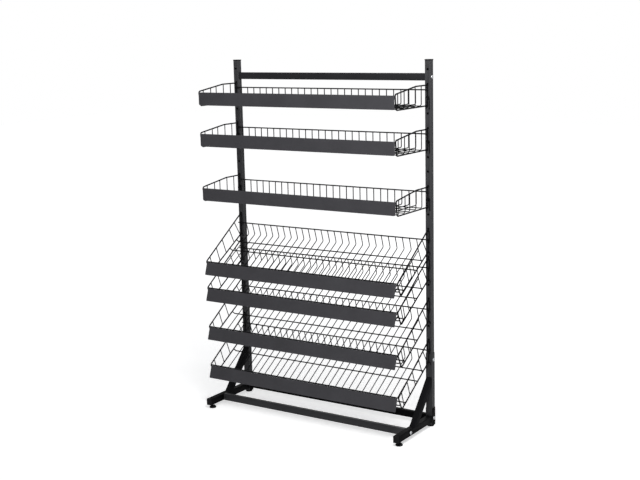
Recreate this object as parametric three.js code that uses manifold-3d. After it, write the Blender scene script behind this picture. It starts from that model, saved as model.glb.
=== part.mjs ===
// Free-standing wire display rack: two punched square-tube posts on a braced base,
// three level wire trays and four sloping wire baskets hooked into the holes of the posts.
// Millimetres, +Z up, +X to the right, the front faces -Y, and the glides stand on z = 0.
import * as THREE from "three";
import { mergeVertices } from "three/addons/utils/BufferGeometryUtils.js";
import Module from "manifold-3d";

const wasm = await Module();
wasm.setup();

// Overall frame.
const POST_SPACING = 980;
const POST_SIDE = 26;
const POST_LENGTH = 1558;
const TUBE_WALL = 1.5;
const CORNER_RADIUS = 2;

// Punched holes down the front of each post.
const HOLE_PITCH = 60;
const HOLE_DIAMETER = 10;
const HOLE_TOP_MARGIN = 36;
const HOLE_COUNT = 21;
const HOLE_SIDES = 6;

// Base: two feet with braces, joined by cross rails.
const FOOT_HEIGHT = 30;
const FOOT_LENGTH = 290;
const BRACE_TOP_ABOVE_FOOT = 174;
const BRACE_FOOT_REACH = 154;
const RAIL_HEIGHT = 30;
const RAIL_DEPTH = 20;
const TOP_RAIL_BELOW_HOLE = 31.5;
const FRONT_RAIL_SETBACK = 101;
const REAR_RAIL_LIFT = 4;
const FOOT_ABOVE_POST = 12;

// Formed sheet round the foot of each post.
const SHOE_THICKNESS = 1.6;
const SHOE_ABOVE_FOOT = 280;
const HEEL_THICKNESS = 1.5;
const HEEL_ABOVE_FOOT = 35;
const SHOE_BOLT_DROP = 30;

// Plastic ends.
const CAP_LIP = 1.2;
const CAP_HEIGHT = 4.2;
const CAP_TAPER = 1.4;
const PLUG_DEPTH = 16;
const PLUG_HEAD = 3;
const INSERT_DEPTH = 18;

// Bolts that hold the rails and the shoes.
const BOLT_DIAMETER = 8;
const BOLT_HEAD_DIAMETER = 15;
const BOLT_HEAD_HEIGHT = 4.5;
const BOLT_GRIP = 12;
const BOLT_SIDES = 6;
const BOLT_RIM_SHARE = 0.33;
const BOLT_CROWN_SHARE = 0.67;

// Levelling glides.
const GLIDE_DIAMETER = 31;
const GLIDE_RIM = 5.7;
const GLIDE_DOME = 7;
const GLIDE_NECK_DIAMETER = 18;
const GLIDE_SEAT = 2.5;
const GLIDE_EDGE = 1;
const STUD_DIAMETER = 8;
const STUD_TIP_GAP = 3;
const NUT_DIAMETER = 15;
const FRONT_GLIDE_SETBACK = 25;
const GLIDE_SIDES = 12;
const STUD_SIDES = 6;

// Wires.
const FRAME_WIRE = 4.8;
const FRONT_WIRE = 4.4;
const RAIL_WIRE = 4.4;
const MESH_WIRE = 3.2;
const HOOK_WIRE = 5.2;
const WELD_DEPTH = 0.4;
const WELD_GAP = 0.15;
const CROSS_WIRES = 27;
const CROSS_PITCH = 34.35;
const WIRE_SIDES = 4;

// Hooks: a wire down the face of the post, turned up inside the hole.
const HOOK_TIP = 9;
const STIRRUP_WIDTH = 17;
const STIRRUP_CROWN_SHARE = 0.3;
const LOOP_WIDTH = 12;
const LOOP_SHOULDER = 11;

// Level trays, by the hole that carries them, counted from the top.
const TRAY_HOLES = [1, 4, 8];
const TRAY_DEPTH = 270;
const TRAY_SIDE_DROP = 4;
const TRAY_KINK_REACH = 100;
const TRAY_FRONT_DROP = 26;
const TRAY_FRONT_WIRE_DROP = 32.5;
const TRAY_BOTTOM_DROP = 88;
const TRAY_FLOOR_DROP = 86;
const TRAY_FRONT_LEAN = 8;
const TRAY_RAIL_DROP = 23;
const TRAY_LONG_WIRE_SHARES = [0.1815, 0.3704, 0.563, 0.7074, 0.9];
const TRAY_PLATE_HEIGHT = 56.5;
const TRAY_PLATE_LENGTH = 978;
const TRAY_PLATE_DROP = 29.5;
const TRAY_PLATE_CORNER = 8;
const TRAY_STIRRUP_DROP = 51;
const TRAY_STIRRUP_LENGTH = 52;
const BEND_CHAMFER = 9;

// Sloping baskets.
const BASKET_HOLES = [11, 13, 16, 19];
const BASKET_DEPTH = 267;
const BASKET_SIDE_DROP = 3;
const BASKET_FRONT_DROP = 183;
const BASKET_HEEL_REACH = 239;
const BASKET_HEEL_DROP = 240;
const BASKET_BACK_DROP = 97;
const BASKET_RAIL_DROP = 46;
const BASKET_KNEE_BACK = 10;
const BASKET_FLOOR_SINK = 11;
const BASKET_LONG_WIRE_SHARES = [0.176, 0.393, 0.833];
const BASKET_WALL_WIRE_SHARE = 0.36;
const BASKET_RUNG_TOP_SHARES = [0.202, 0.348, 0.554, 0.723, 0.903];
const BASKET_RUNG_FOOT_SHARES = [0.05, 0.251, 0.506, 0.707, 0.9205];
const BASKET_PLATE_HEIGHT = 57;
const BASKET_PLATE_LENGTH = 972;
const BASKET_PLATE_TILT = 18.2;
const BASKET_PLATE_CORNER = 3;
const BASKET_STIRRUP_DROP = 99;
const BASKET_STIRRUP_LENGTH = 11;

// Front plates.
const PLATE_THICKNESS = 1.2;
const PLATE_HEM = 6;
const CORNER_STEPS = 2;

// Running gap between pieces that are fitted into each other.
const FIT_GAP = 0.3;
// How far a cutting tool runs past the wall that it cuts.
const CUT_OVERRUN = 5;

// Derived places.
const POST_BOTTOM = GLIDE_RIM + FIT_GAP;
const FOOT_BOTTOM = POST_BOTTOM + FOOT_ABOVE_POST;
const FOOT_TOP = FOOT_BOTTOM + FOOT_HEIGHT;
const POST_TOP = POST_BOTTOM + POST_LENGTH;
const TOP_HOLE = POST_TOP - HOLE_TOP_MARGIN;
const POST_X = POST_SPACING / 2;
const POST_HALF = POST_SIDE / 2;
const FOOT_MID = FOOT_BOTTOM + FOOT_HEIGHT / 2;
const REAR_RAIL_Z = FOOT_MID + REAR_RAIL_LIFT;
const FRONT_RAIL_REACH = FOOT_LENGTH - FRONT_RAIL_SETBACK;
const FRONT_GLIDE_REACH = FOOT_LENGTH - FRONT_GLIDE_SETBACK;
const TOP_RAIL_Z = TOP_HOLE - TOP_RAIL_BELOW_HOLE;
const SHOE_TOP = FOOT_TOP + SHOE_ABOVE_FOOT;
const HEEL_TOP = FOOT_TOP + HEEL_ABOVE_FOOT;
const SIDES = [
  { name: "left", sign: -1 },
  { name: "right", sign: 1 },
];

const STEEL_BLACK = { color: 0x26262a, roughness: 0.62, metalness: 0.35 };
const PLASTIC_BLACK = { color: 0x141416, roughness: 0.5, metalness: 0 };
const ZINC = { color: 0xc4c7cc, roughness: 0.3, metalness: 1 };

// Turns a closed geometry into a solid that can be joined and cut.
function solidOf(geometry) {
  const bare = geometry.clone();
  bare.deleteAttribute("normal");
  bare.deleteAttribute("uv");
  const merged = mergeVertices(bare, 1e-4);
  return new wasm.Manifold(
    new wasm.Mesh({
      numProp: 3,
      vertProperties: new Float32Array(merged.attributes.position.array),
      triVerts: new Uint32Array(merged.index.array),
    }),
  );
}

// Turns a solid back into a geometry.
function geometryOf(solid) {
  const mesh = solid.getMesh();
  const geometry = new THREE.BufferGeometry();
  geometry.setAttribute("position", new THREE.BufferAttribute(mesh.vertProperties, 3));
  geometry.setIndex(new THREE.BufferAttribute(mesh.triVerts, 1));
  const flat = geometry.toNonIndexed();
  flat.computeVertexNormals();
  return flat;
}

// Joins a list of geometries into one solid.
function fuse(geometries) {
  return geometries.map(solidOf).reduce((whole, piece) => whole.add(piece));
}

// Cuts a list of geometries out of a solid.
function carve(solid, cutters) {
  return cutters.reduce((whole, cutter) => whole.subtract(solidOf(cutter)), solid);
}

// A straight or bent bar: the path's corners are mitred, so its section stays true at each bend.
class MitredPath extends THREE.Curve {
  constructor(points, across) {
    super();
    this.points = points;
    this.across = across;
  }

  getPoint(t, target = new THREE.Vector3()) {
    const at = t * (this.points.length - 1);
    const i = Math.min(Math.floor(at), this.points.length - 2);
    return target.copy(this.points[i]).lerp(this.points[i + 1], at - i);
  }

  getSpacedPoints() {
    return this.points.map((point) => point.clone());
  }

  // The axis that stays square to the plane of the bends is the binormal all along.
  computeFrenetFrames() {
    const { points, across } = this;
    const runs = points.slice(1).map((point, i) => point.clone().sub(points[i]).normalize());
    const tangents = [];
    const normals = [];
    const binormals = [];
    points.forEach((_, i) => {
      const before = runs[Math.max(i - 1, 0)];
      const after = runs[Math.min(i, runs.length - 1)];
      const tangent = before.clone().add(after).normalize();
      const stretch = 1 / tangent.dot(before);
      const binormal = across.clone().addScaledVector(tangent, -across.dot(tangent)).normalize();
      const normal = binormal.clone().cross(tangent).multiplyScalar(stretch);
      tangents.push(tangent);
      normals.push(normal);
      binormals.push(binormal);
    });
    return { tangents, normals, binormals };
  }
}

// A regular outline with as much area as a circle of the given diameter, flats along the axes.
function wireSection(diameter) {
  const step = (2 * Math.PI) / WIRE_SIDES;
  const radius = (diameter / 2) * Math.sqrt(step / Math.sin(step));
  const corners = Array.from({ length: WIRE_SIDES }, (_, i) => {
    const turn = (i + 0.5) * step;
    return new THREE.Vector2(radius * Math.cos(turn), radius * Math.sin(turn));
  });
  return new THREE.Shape(corners);
}

// Half the width across the flats of a wire's section.
function halfFlat(diameter) {
  return (diameter / 2) * Math.sqrt(Math.PI / 4);
}

// A wire through the given corners; "across" is the direction square to the plane of its bends.
function wire(points, diameter, across = new THREE.Vector3(1, 0, 0)) {
  return new THREE.ExtrudeGeometry(wireSection(diameter), {
    steps: points.length - 1,
    bevelEnabled: false,
    extrudePath: new MitredPath(points, across),
  });
}

// Points of a profile given as [y, z] pairs in the plane x.
function profileAt(x, pairs) {
  return pairs.map(([y, z]) => new THREE.Vector3(x, y, z));
}

// A straight wire that runs from side to side, its flats turned to the line of the side wires.
function longWire(reach, [y, z], diameter, [from, to] = [[0, 0], [1, 0]]) {
  const ends = [-reach, reach].map((x) => new THREE.Vector3(x, y, z));
  return wire(ends, diameter, new THREE.Vector3(0, to[0] - from[0], to[1] - from[1]).normalize());
}

// Outline of a rectangular tube with its corners taken off.
function tubeOutline(width, height, radius) {
  const w = width / 2;
  const h = height / 2;
  const shape = new THREE.Shape();
  shape.moveTo(-w + radius, -h);
  shape.lineTo(w - radius, -h);
  shape.lineTo(w, -h + radius);
  shape.lineTo(w, h - radius);
  shape.lineTo(w - radius, h);
  shape.lineTo(-w + radius, h);
  shape.lineTo(-w, h - radius);
  shape.lineTo(-w, -h + radius);
  shape.closePath();
  return shape;
}

// Outline of a plain rectangle, used for the bore of a tube and for solid blocks.
function boxOutline(width, height) {
  const w = width / 2;
  const h = height / 2;
  return [
    new THREE.Vector2(-w, -h),
    new THREE.Vector2(w, -h),
    new THREE.Vector2(w, h),
    new THREE.Vector2(-w, h),
  ];
}

// An open-ended rectangular tube along +Z from 0, centred on its axis.
function squareTube(width, height, length) {
  const shape = tubeOutline(width, height, CORNER_RADIUS * (1 - Math.SQRT1_2) * 2);
  shape.holes.push(new THREE.Path(boxOutline(width - 2 * TUBE_WALL, height - 2 * TUBE_WALL).reverse()));
  return new THREE.ExtrudeGeometry(shape, { depth: length, bevelEnabled: false });
}

// A round cutter or pin along the given axis ("x", "y" or "z"), centred on a point.
function roundBar(axis, diameter, length, centre, sides) {
  const bar = new THREE.CylinderGeometry(diameter / 2, diameter / 2, length, sides);
  bar.rotateY(Math.PI / sides);
  if (axis === "x") bar.rotateZ(Math.PI / 2);
  if (axis === "z") bar.rotateX(Math.PI / 2);
  return bar.translate(centre.x, centre.y, centre.z);
}

// A turned piece about +Z from [radius, height] pairs.
function turned(pairs, sides) {
  const outline = pairs.map(([radius, height]) => new THREE.Vector2(radius, height));
  return new THREE.LatheGeometry(outline, sides).rotateY(Math.PI / sides).rotateX(Math.PI / 2);
}

// Height of a post hole above the floor; hole 0 is the top one.
function holeHeight(index) {
  return TOP_HOLE - index * HOLE_PITCH;
}

// The rack is drawn from the front face of its posts, then centred from front to back.
const FRONT_END = -(FOOT_LENGTH + PLUG_HEAD);
const REAR_END = POST_SIDE + SHOE_THICKNESS + HEEL_THICKNESS + 2 * FIT_GAP;
const rack = new THREE.Group();
const assembly = new THREE.Group();
assembly.position.y = -(FRONT_END + REAR_END) / 2;
rack.add(assembly);

// Adds a named mesh to the assembly.
function add(name, geometry, look, place = new THREE.Vector3()) {
  const mesh = new THREE.Mesh(geometry, new THREE.MeshStandardMaterial(look));
  mesh.name = name;
  mesh.position.copy(place);
  assembly.add(mesh);
  return mesh;
}

// Posts: punched square tube, drilled across for the bolts of the rails and of the shoe.
function buildPost(side) {
  const x = side.sign * POST_X;
  const tube = solidOf(squareTube(POST_SIDE, POST_SIDE, POST_LENGTH).translate(x, POST_HALF, POST_BOTTOM));
  const holes = Array.from({ length: HOLE_COUNT }, (_, i) =>
    roundBar(
      "y",
      HOLE_DIAMETER,
      2 * (TUBE_WALL + CUT_OVERRUN),
      new THREE.Vector3(x, 0, holeHeight(i)),
      HOLE_SIDES,
    ),
  );
  const through = [TOP_RAIL_Z, REAR_RAIL_Z].map((z) =>
    roundBar(
      "x",
      BOLT_DIAMETER + 2 * FIT_GAP,
      POST_SIDE + CUT_OVERRUN,
      new THREE.Vector3(x, POST_HALF, z),
      BOLT_SIDES,
    ),
  );
  const pinch = roundBar(
    "x",
    BOLT_DIAMETER + 2 * FIT_GAP,
    POST_HALF + CUT_OVERRUN,
    new THREE.Vector3(x + (side.sign * (POST_HALF + CUT_OVERRUN)) / 2, POST_HALF, SHOE_TOP - SHOE_BOLT_DROP),
    BOLT_SIDES,
  );
  add(`post_${side.name}`, geometryOf(carve(tube, [...holes, ...through, pinch])), STEEL_BLACK);
}

// Cap: a tapered lid with a lip just proud of the tube and a skirt inside it.
function buildPostCap(side) {
  const bore = POST_SIDE - 2 * TUBE_WALL - 2 * FIT_GAP;
  const lid = new THREE.ExtrudeGeometry(tubeOutline(POST_SIDE, POST_SIDE, CORNER_RADIUS), {
    depth: CAP_HEIGHT - CAP_TAPER,
    bevelEnabled: true,
    bevelSegments: 1,
    bevelThickness: CAP_TAPER,
    bevelSize: CAP_LIP,
    bevelOffset: 0,
  });
  const skirt = new THREE.ExtrudeGeometry(new THREE.Shape(boxOutline(bore, bore)), {
    depth: PLUG_DEPTH + WELD_DEPTH,
    bevelEnabled: false,
  });
  skirt.translate(0, 0, -PLUG_DEPTH);
  const wide = POST_SIDE + 2 * CUT_OVERRUN;
  const trim = new THREE.BoxGeometry(wide, wide, CUT_OVERRUN).translate(0, 0, -CUT_OVERRUN / 2);
  const cap = solidOf(lid).subtract(solidOf(trim)).add(solidOf(skirt));
  const place = new THREE.Vector3(side.sign * POST_X, POST_HALF, POST_TOP);
  add(`post_cap_${side.name}`, geometryOf(cap), PLASTIC_BLACK, place);
}

// Outline in plan of a sheet channel round three sides of the post, open at the front.
function channelOutline(inner, thickness) {
  const half = POST_HALF + inner;
  const back = POST_SIDE + inner;
  const shape = new THREE.Shape();
  shape.moveTo(-half - thickness, 0);
  shape.lineTo(-half, 0);
  shape.lineTo(-half, back);
  shape.lineTo(half, back);
  shape.lineTo(half, 0);
  shape.lineTo(half + thickness, 0);
  shape.lineTo(half + thickness, back + thickness - CORNER_RADIUS);
  shape.lineTo(half + thickness - CORNER_RADIUS, back + thickness);
  shape.lineTo(-half - thickness + CORNER_RADIUS, back + thickness);
  shape.lineTo(-half - thickness, back + thickness - CORNER_RADIUS);
  shape.closePath();
  return shape;
}

// Shoe and heel plate: formed channels that clasp the lower end of the post.
function buildShoe(side) {
  const x = side.sign * POST_X;
  const bolts = [SHOE_TOP - SHOE_BOLT_DROP, REAR_RAIL_Z];
  const cutters = bolts.map((z, i) => {
    const outward = i === 0 ? side.sign * (POST_HALF + CUT_OVERRUN) : 0;
    const length = i === 0 ? 2 * (SHOE_THICKNESS + CUT_OVERRUN) : POST_SIDE + 4 * CUT_OVERRUN;
    const centre = new THREE.Vector3(x + outward, POST_HALF, z);
    return roundBar("x", BOLT_DIAMETER + 2 * FIT_GAP, length, centre, BOLT_SIDES);
  });
  const shoe = new THREE.ExtrudeGeometry(channelOutline(FIT_GAP, SHOE_THICKNESS), {
    depth: SHOE_TOP - POST_BOTTOM,
    bevelEnabled: false,
  }).translate(x, 0, POST_BOTTOM);
  add(`shoe_${side.name}`, geometryOf(carve(solidOf(shoe), cutters)), STEEL_BLACK);
  const heel = new THREE.ExtrudeGeometry(channelOutline(SHOE_THICKNESS + 2 * FIT_GAP, HEEL_THICKNESS), {
    depth: HEEL_TOP - POST_BOTTOM,
    bevelEnabled: false,
  }).translate(x, 0, POST_BOTTOM);
  const reach = new THREE.Vector3(x, POST_HALF, REAR_RAIL_Z);
  const bore = roundBar("x", BOLT_DIAMETER + 2 * FIT_GAP, POST_SIDE + 4 * CUT_OVERRUN, reach, BOLT_SIDES);
  add(`heel_plate_${side.name}`, geometryOf(carve(solidOf(heel), [bore])), STEEL_BLACK);
}

// Foot: tube that butts on the front of the post, drilled for the front rail and the glide.
function buildFoot(side) {
  const x = side.sign * POST_X;
  const tube = squareTube(POST_SIDE, FOOT_HEIGHT, FOOT_LENGTH);
  tube.rotateX(Math.PI / 2).translate(x, 0, FOOT_MID);
  const cross = roundBar(
    "x",
    BOLT_DIAMETER + 2 * FIT_GAP,
    POST_SIDE + CUT_OVERRUN,
    new THREE.Vector3(x, -FRONT_RAIL_REACH, FOOT_MID),
    BOLT_SIDES,
  );
  const glide = roundBar(
    "z",
    STUD_DIAMETER + 2 * FIT_GAP,
    2 * CUT_OVERRUN,
    new THREE.Vector3(x, -FRONT_GLIDE_REACH, FOOT_BOTTOM),
    BOLT_SIDES,
  );
  add(`foot_${side.name}`, geometryOf(carve(solidOf(tube), [cross, glide])), STEEL_BLACK);
  buildFootPlug(side);
}

// Plug: a head flush with the tube's outline and a shank that grips its bore.
function buildFootPlug(side) {
  const head = new THREE.ExtrudeGeometry(tubeOutline(POST_SIDE, FOOT_HEIGHT, CORNER_RADIUS), {
    depth: PLUG_HEAD - CAP_LIP,
    bevelEnabled: true,
    bevelSegments: 1,
    bevelThickness: CAP_LIP,
    bevelSize: CAP_LIP,
    bevelOffset: -CAP_LIP,
  });
  const wide = FOOT_HEIGHT + 2 * CUT_OVERRUN;
  const trim = new THREE.BoxGeometry(wide, wide, CUT_OVERRUN).translate(0, 0, -CUT_OVERRUN / 2);
  const shankWidth = POST_SIDE - 2 * (TUBE_WALL + FIT_GAP);
  const shankHeight = FOOT_HEIGHT - 2 * (TUBE_WALL + FIT_GAP);
  const shankDepth = Math.min(PLUG_DEPTH, FOOT_LENGTH - FRONT_GLIDE_REACH - STUD_DIAMETER / 2 - 2 * FIT_GAP);
  const shank = new THREE.ExtrudeGeometry(new THREE.Shape(boxOutline(shankWidth, shankHeight)), {
    depth: shankDepth + WELD_DEPTH,
    bevelEnabled: false,
  }).translate(0, 0, -shankDepth);
  const plug = solidOf(head).subtract(solidOf(trim)).add(solidOf(shank));
  const mesh = add(`foot_plug_${side.name}`, geometryOf(plug), PLASTIC_BLACK);
  mesh.rotation.x = Math.PI / 2;
  mesh.position.set(side.sign * POST_X, -FOOT_LENGTH, FOOT_MID);
}

// Brace: the post's tube again, cut upright where it meets the post and level on the foot.
function buildBrace(side) {
  const rise = BRACE_TOP_ABOVE_FOOT;
  const run = BRACE_FOOT_REACH;
  const lean = Math.atan2(run, rise);
  const length = Math.hypot(rise, run) + 4 * POST_SIDE;
  const tube = squareTube(POST_SIDE, POST_SIDE, length).translate(0, POST_HALF, -2 * POST_SIDE);
  tube.rotateX(-lean).translate(0, -run, 0);
  const block = 2 * length;
  const under = new THREE.BoxGeometry(block, block, block).translate(0, 0, -block / 2);
  const behind = new THREE.BoxGeometry(block, block, block).translate(0, block / 2, 0);
  const brace = carve(solidOf(tube), [under, behind]);
  const place = new THREE.Vector3(side.sign * POST_X, 0, FOOT_TOP);
  add(`brace_${side.name}`, geometryOf(brace), STEEL_BLACK, place);
}

// Cross rail between the posts or the feet.
function buildRail(name, y, z, length) {
  const tube = squareTube(RAIL_HEIGHT, RAIL_DEPTH, length);
  tube.rotateY(Math.PI / 2).translate(-length / 2, y, z);
  add(name, tube, STEEL_BLACK);
}

// Bolt: a domed head on the outer face, with its shank through the post into the rail.
function buildBolt(name, side, y, z, face, reach) {
  const head = BOLT_HEAD_HEIGHT;
  const rim = BOLT_HEAD_DIAMETER / 2;
  const shank = BOLT_DIAMETER / 2;
  const outline = [
    [0, -reach],
    [shank, -reach],
    [shank, FIT_GAP],
    [rim, FIT_GAP],
    [rim, FIT_GAP + head * BOLT_RIM_SHARE],
    [rim * BOLT_CROWN_SHARE, FIT_GAP + head],
    [0, FIT_GAP + head],
  ].map(([r, h]) => new THREE.Vector2(r, h));
  const bolt = new THREE.LatheGeometry(outline, BOLT_SIDES).rotateY(Math.PI / BOLT_SIDES);
  const mesh = add(name, bolt, ZINC, new THREE.Vector3(side.sign * face, y, z));
  mesh.rotation.z = (-side.sign * Math.PI) / 2;
}

// Every bolt of one side of the rack.
function buildBolts(side) {
  const plain = POST_X + POST_HALF;
  const shoe = plain + FIT_GAP + SHOE_THICKNESS;
  const heel = shoe + FIT_GAP + HEEL_THICKNESS;
  const long = POST_SIDE + BOLT_GRIP;
  const shoeBolt = SHOE_TOP - SHOE_BOLT_DROP;
  buildBolt(`top_rail_bolt_${side.name}`, side, POST_HALF, TOP_RAIL_Z, plain, long);
  buildBolt(`front_rail_bolt_${side.name}`, side, -FRONT_RAIL_REACH, FOOT_MID, plain, long);
  buildBolt(`rear_rail_bolt_${side.name}`, side, POST_HALF, REAR_RAIL_Z, heel, heel - plain + long);
  buildBolt(`shoe_bolt_${side.name}`, side, POST_HALF, shoeBolt, shoe, shoe - plain + BOLT_GRIP);
}

// Insert: threaded plug in the bottom of the post that takes the rear glide.
function buildPostInsert(side) {
  const bore = POST_SIDE - 2 * (TUBE_WALL + FIT_GAP);
  const depth = INSERT_DEPTH;
  const outline = new THREE.Shape(boxOutline(bore, bore));
  const block = new THREE.ExtrudeGeometry(outline, { depth, bevelEnabled: false });
  const centre = new THREE.Vector3(0, 0, depth / 2);
  const hole = roundBar("z", STUD_DIAMETER + 2 * FIT_GAP, depth + 2 * CUT_OVERRUN, centre, BOLT_SIDES);
  const place = new THREE.Vector3(side.sign * POST_X, POST_HALF, POST_BOTTOM);
  add(`post_insert_${side.name}`, geometryOf(carve(solidOf(block), [hole])), PLASTIC_BLACK, place);
}

// Glide: a turned pad and the threaded stud that carries it; the front ones have a neck and a lock nut.
function buildGlide(side, end, y, neckHeight, tubeBottom, studTop) {
  const rim = GLIDE_DIAMETER / 2;
  const neck = GLIDE_NECK_DIAMETER / 2;
  const stud = STUD_DIAMETER / 2;
  const nut = NUT_DIAMETER / 2;
  const socket = stud + FIT_GAP;
  const padTop = GLIDE_RIM + neckHeight;
  const shoulder = neckHeight > 0 ? [[neck, padTop]] : [];
  const pad = [
    [0, 0],
    [rim - GLIDE_EDGE, 0],
    [rim, GLIDE_EDGE],
    [rim, GLIDE_RIM],
    ...shoulder,
    [socket, padTop],
    [socket, GLIDE_SEAT],
    [0, GLIDE_SEAT],
  ];
  const collar = [
    [stud, padTop + FIT_GAP],
    [nut, padTop + FIT_GAP],
    [nut, tubeBottom - FIT_GAP],
    [stud, tubeBottom - FIT_GAP],
  ];
  const threaded = [
    [0, GLIDE_SEAT + FIT_GAP],
    [stud, GLIDE_SEAT + FIT_GAP],
    ...(neckHeight > 0 ? collar : []),
    [stud, studTop],
    [0, studTop],
  ];
  const place = new THREE.Vector3(side.sign * POST_X, y, 0);
  add(`glide_pad_${end}_${side.name}`, turned(pad, GLIDE_SIDES), PLASTIC_BLACK, place);
  add(`glide_stud_${end}_${side.name}`, turned(threaded, STUD_SIDES), ZINC, place);
}

// Places of the wires at the post: the hook rests on the lower edge of the punched hole.
const HOOK_Z = halfFlat(HOOK_WIRE) + FIT_GAP - (HOLE_DIAMETER / 2) * Math.cos(Math.PI / HOLE_SIDES);
const FACE_Y = -(FIT_GAP + halfFlat(HOOK_WIRE));
const STIRRUP_Y = -(2 * FIT_GAP + halfFlat(MESH_WIRE));
const BACK_RAIL_Y = FACE_Y - halfFlat(HOOK_WIRE) - halfFlat(RAIL_WIRE) + WELD_DEPTH;
const LOOP_Y = BACK_RAIL_Y + halfFlat(RAIL_WIRE) + halfFlat(MESH_WIRE) - WELD_DEPTH;
const WIRE_X = POST_X;
const FACE_NORMAL = new THREE.Vector3(0, 1, 0);

// Stirrup: an upside-down U of thin wire that rests on the face of the post.
function stirrupWire(x, drop, length) {
  const half = STIRRUP_WIDTH / 2;
  const shoulder = STIRRUP_WIDTH * STIRRUP_CROWN_SHARE;
  const points = [
    [-half, drop + length],
    [-half, drop + shoulder],
    [-half + shoulder, drop],
    [half - shoulder, drop],
    [half, drop + shoulder],
    [half, drop + length],
  ].map(([u, fall]) => new THREE.Vector3(x + u, STIRRUP_Y, -fall));
  return wire(points, MESH_WIRE, FACE_NORMAL);
}

// Hook: the wire comes through the hole of the post, turned up inside it, and runs down its face.
function hookWire(x, foot) {
  const inside = TUBE_WALL + FIT_GAP + halfFlat(HOOK_WIRE);
  const points = profileAt(x, [
    [inside, HOOK_Z + HOOK_TIP],
    [inside, HOOK_Z],
    [FACE_Y, HOOK_Z],
    [FACE_Y, -foot],
  ]);
  return wire(points, HOOK_WIRE);
}

// Loop: the basket's hook opens into two legs that straddle the side wire.
function loopWire(x, foot) {
  const spread = LOOP_WIDTH / 2;
  const points = [
    [-spread, foot],
    [-spread, LOOP_SHOULDER],
    [0, -HOOK_Z],
    [spread, LOOP_SHOULDER],
    [spread, foot],
  ].map(([u, fall]) => new THREE.Vector3(x + u, LOOP_Y, -fall));
  return wire(points, MESH_WIRE, FACE_NORMAL);
}

// X places of the cross wires, spaced out from the left side frame.
function crossPlaces() {
  return Array.from({ length: CROSS_WIRES }, (_, i) => (i + 1) * CROSS_PITCH - WIRE_X);
}

// A level tray's wire frame, drawn from its hole: side frames, rails, bent floor wires and hooks.
function trayWires() {
  const frame = halfFlat(FRAME_WIRE);
  const mesh = halfFlat(MESH_WIRE);
  const inner = WIRE_X - frame - mesh + WELD_DEPTH;
  const floor = -TRAY_FLOOR_DROP;
  const front = -TRAY_DEPTH + TRAY_FRONT_LEAN;
  const kink = [-TRAY_KINK_REACH, -TRAY_SIDE_DROP];
  const corner = [-TRAY_DEPTH, -TRAY_FRONT_DROP];
  const edge = [-TRAY_DEPTH, -TRAY_FRONT_WIRE_DROP];
  const parts = [];
  for (const { sign } of SIDES) {
    const x = sign * WIRE_X;
    const side = profileAt(x, [
      [FACE_Y, -TRAY_SIDE_DROP],
      kink,
      corner,
      [front, -TRAY_BOTTOM_DROP],
      [FACE_Y, -TRAY_BOTTOM_DROP],
    ]);
    parts.push(wire(side, FRAME_WIRE));
    parts.push(hookWire(x, TRAY_BOTTOM_DROP + FRAME_WIRE));
    parts.push(stirrupWire(x, TRAY_STIRRUP_DROP, TRAY_STIRRUP_LENGTH));
  }
  for (const share of TRAY_LONG_WIRE_SHARES) {
    const reach = share * TRAY_DEPTH;
    const slope = (TRAY_FRONT_DROP - TRAY_SIDE_DROP) / (TRAY_DEPTH - TRAY_KINK_REACH);
    const top = -TRAY_SIDE_DROP - Math.max(0, reach - TRAY_KINK_REACH) * slope;
    const bent = [
      [-inner, top],
      [-inner, floor + BEND_CHAMFER],
      [-inner + BEND_CHAMFER, floor],
      [inner - BEND_CHAMFER, floor],
      [inner, floor + BEND_CHAMFER],
      [inner, top],
    ].map(([x, z]) => new THREE.Vector3(x, -reach, z));
    parts.push(wire(bent, MESH_WIRE, FACE_NORMAL));
  }
  parts.push(longWire(WIRE_X + HOOK_WIRE, [BACK_RAIL_Y, -TRAY_RAIL_DROP], RAIL_WIRE));
  parts.push(longWire(WIRE_X, edge, FRONT_WIRE));
  const over = floor + 2 * mesh + WELD_GAP;
  for (const x of crossPlaces()) {
    const bent = profileAt(x, [
      [BACK_RAIL_Y, -TRAY_RAIL_DROP],
      [BACK_RAIL_Y, over],
      [front + mesh, over],
      edge,
    ]);
    parts.push(wire(bent, MESH_WIRE));
  }
  return fuse(parts);
}

// The point of a line through two [y, z] points at a given y.
function onLine([y0, z0], [y1, z1], y) {
  return [y, z0 + ((z1 - z0) * (y - y0)) / (y1 - y0)];
}

// A point moved square to a line by "depth", to the side below it.
function below(line, [y, z], depth) {
  const [[y0, z0], [y1, z1]] = line;
  const length = Math.hypot(y1 - y0, z1 - z0) * Math.sign(y1 - y0);
  return [y + (depth * (z1 - z0)) / length, z - (depth * (y1 - y0)) / length];
}

// A long wire with its ends bent in to the side frames.
function bentLongWire(end, middle) {
  const points = [
    [-WIRE_X, end],
    [-WIRE_X + BEND_CHAMFER, middle],
    [WIRE_X - BEND_CHAMFER, middle],
    [WIRE_X, end],
  ].map(([x, [y, z]]) => new THREE.Vector3(x, y, z));
  const offset = new THREE.Vector3(0, middle[0] - end[0], middle[1] - end[1]);
  const across = new THREE.Vector3(1, 0, 0).cross(offset).normalize();
  return wire(points, MESH_WIRE, across);
}

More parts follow.
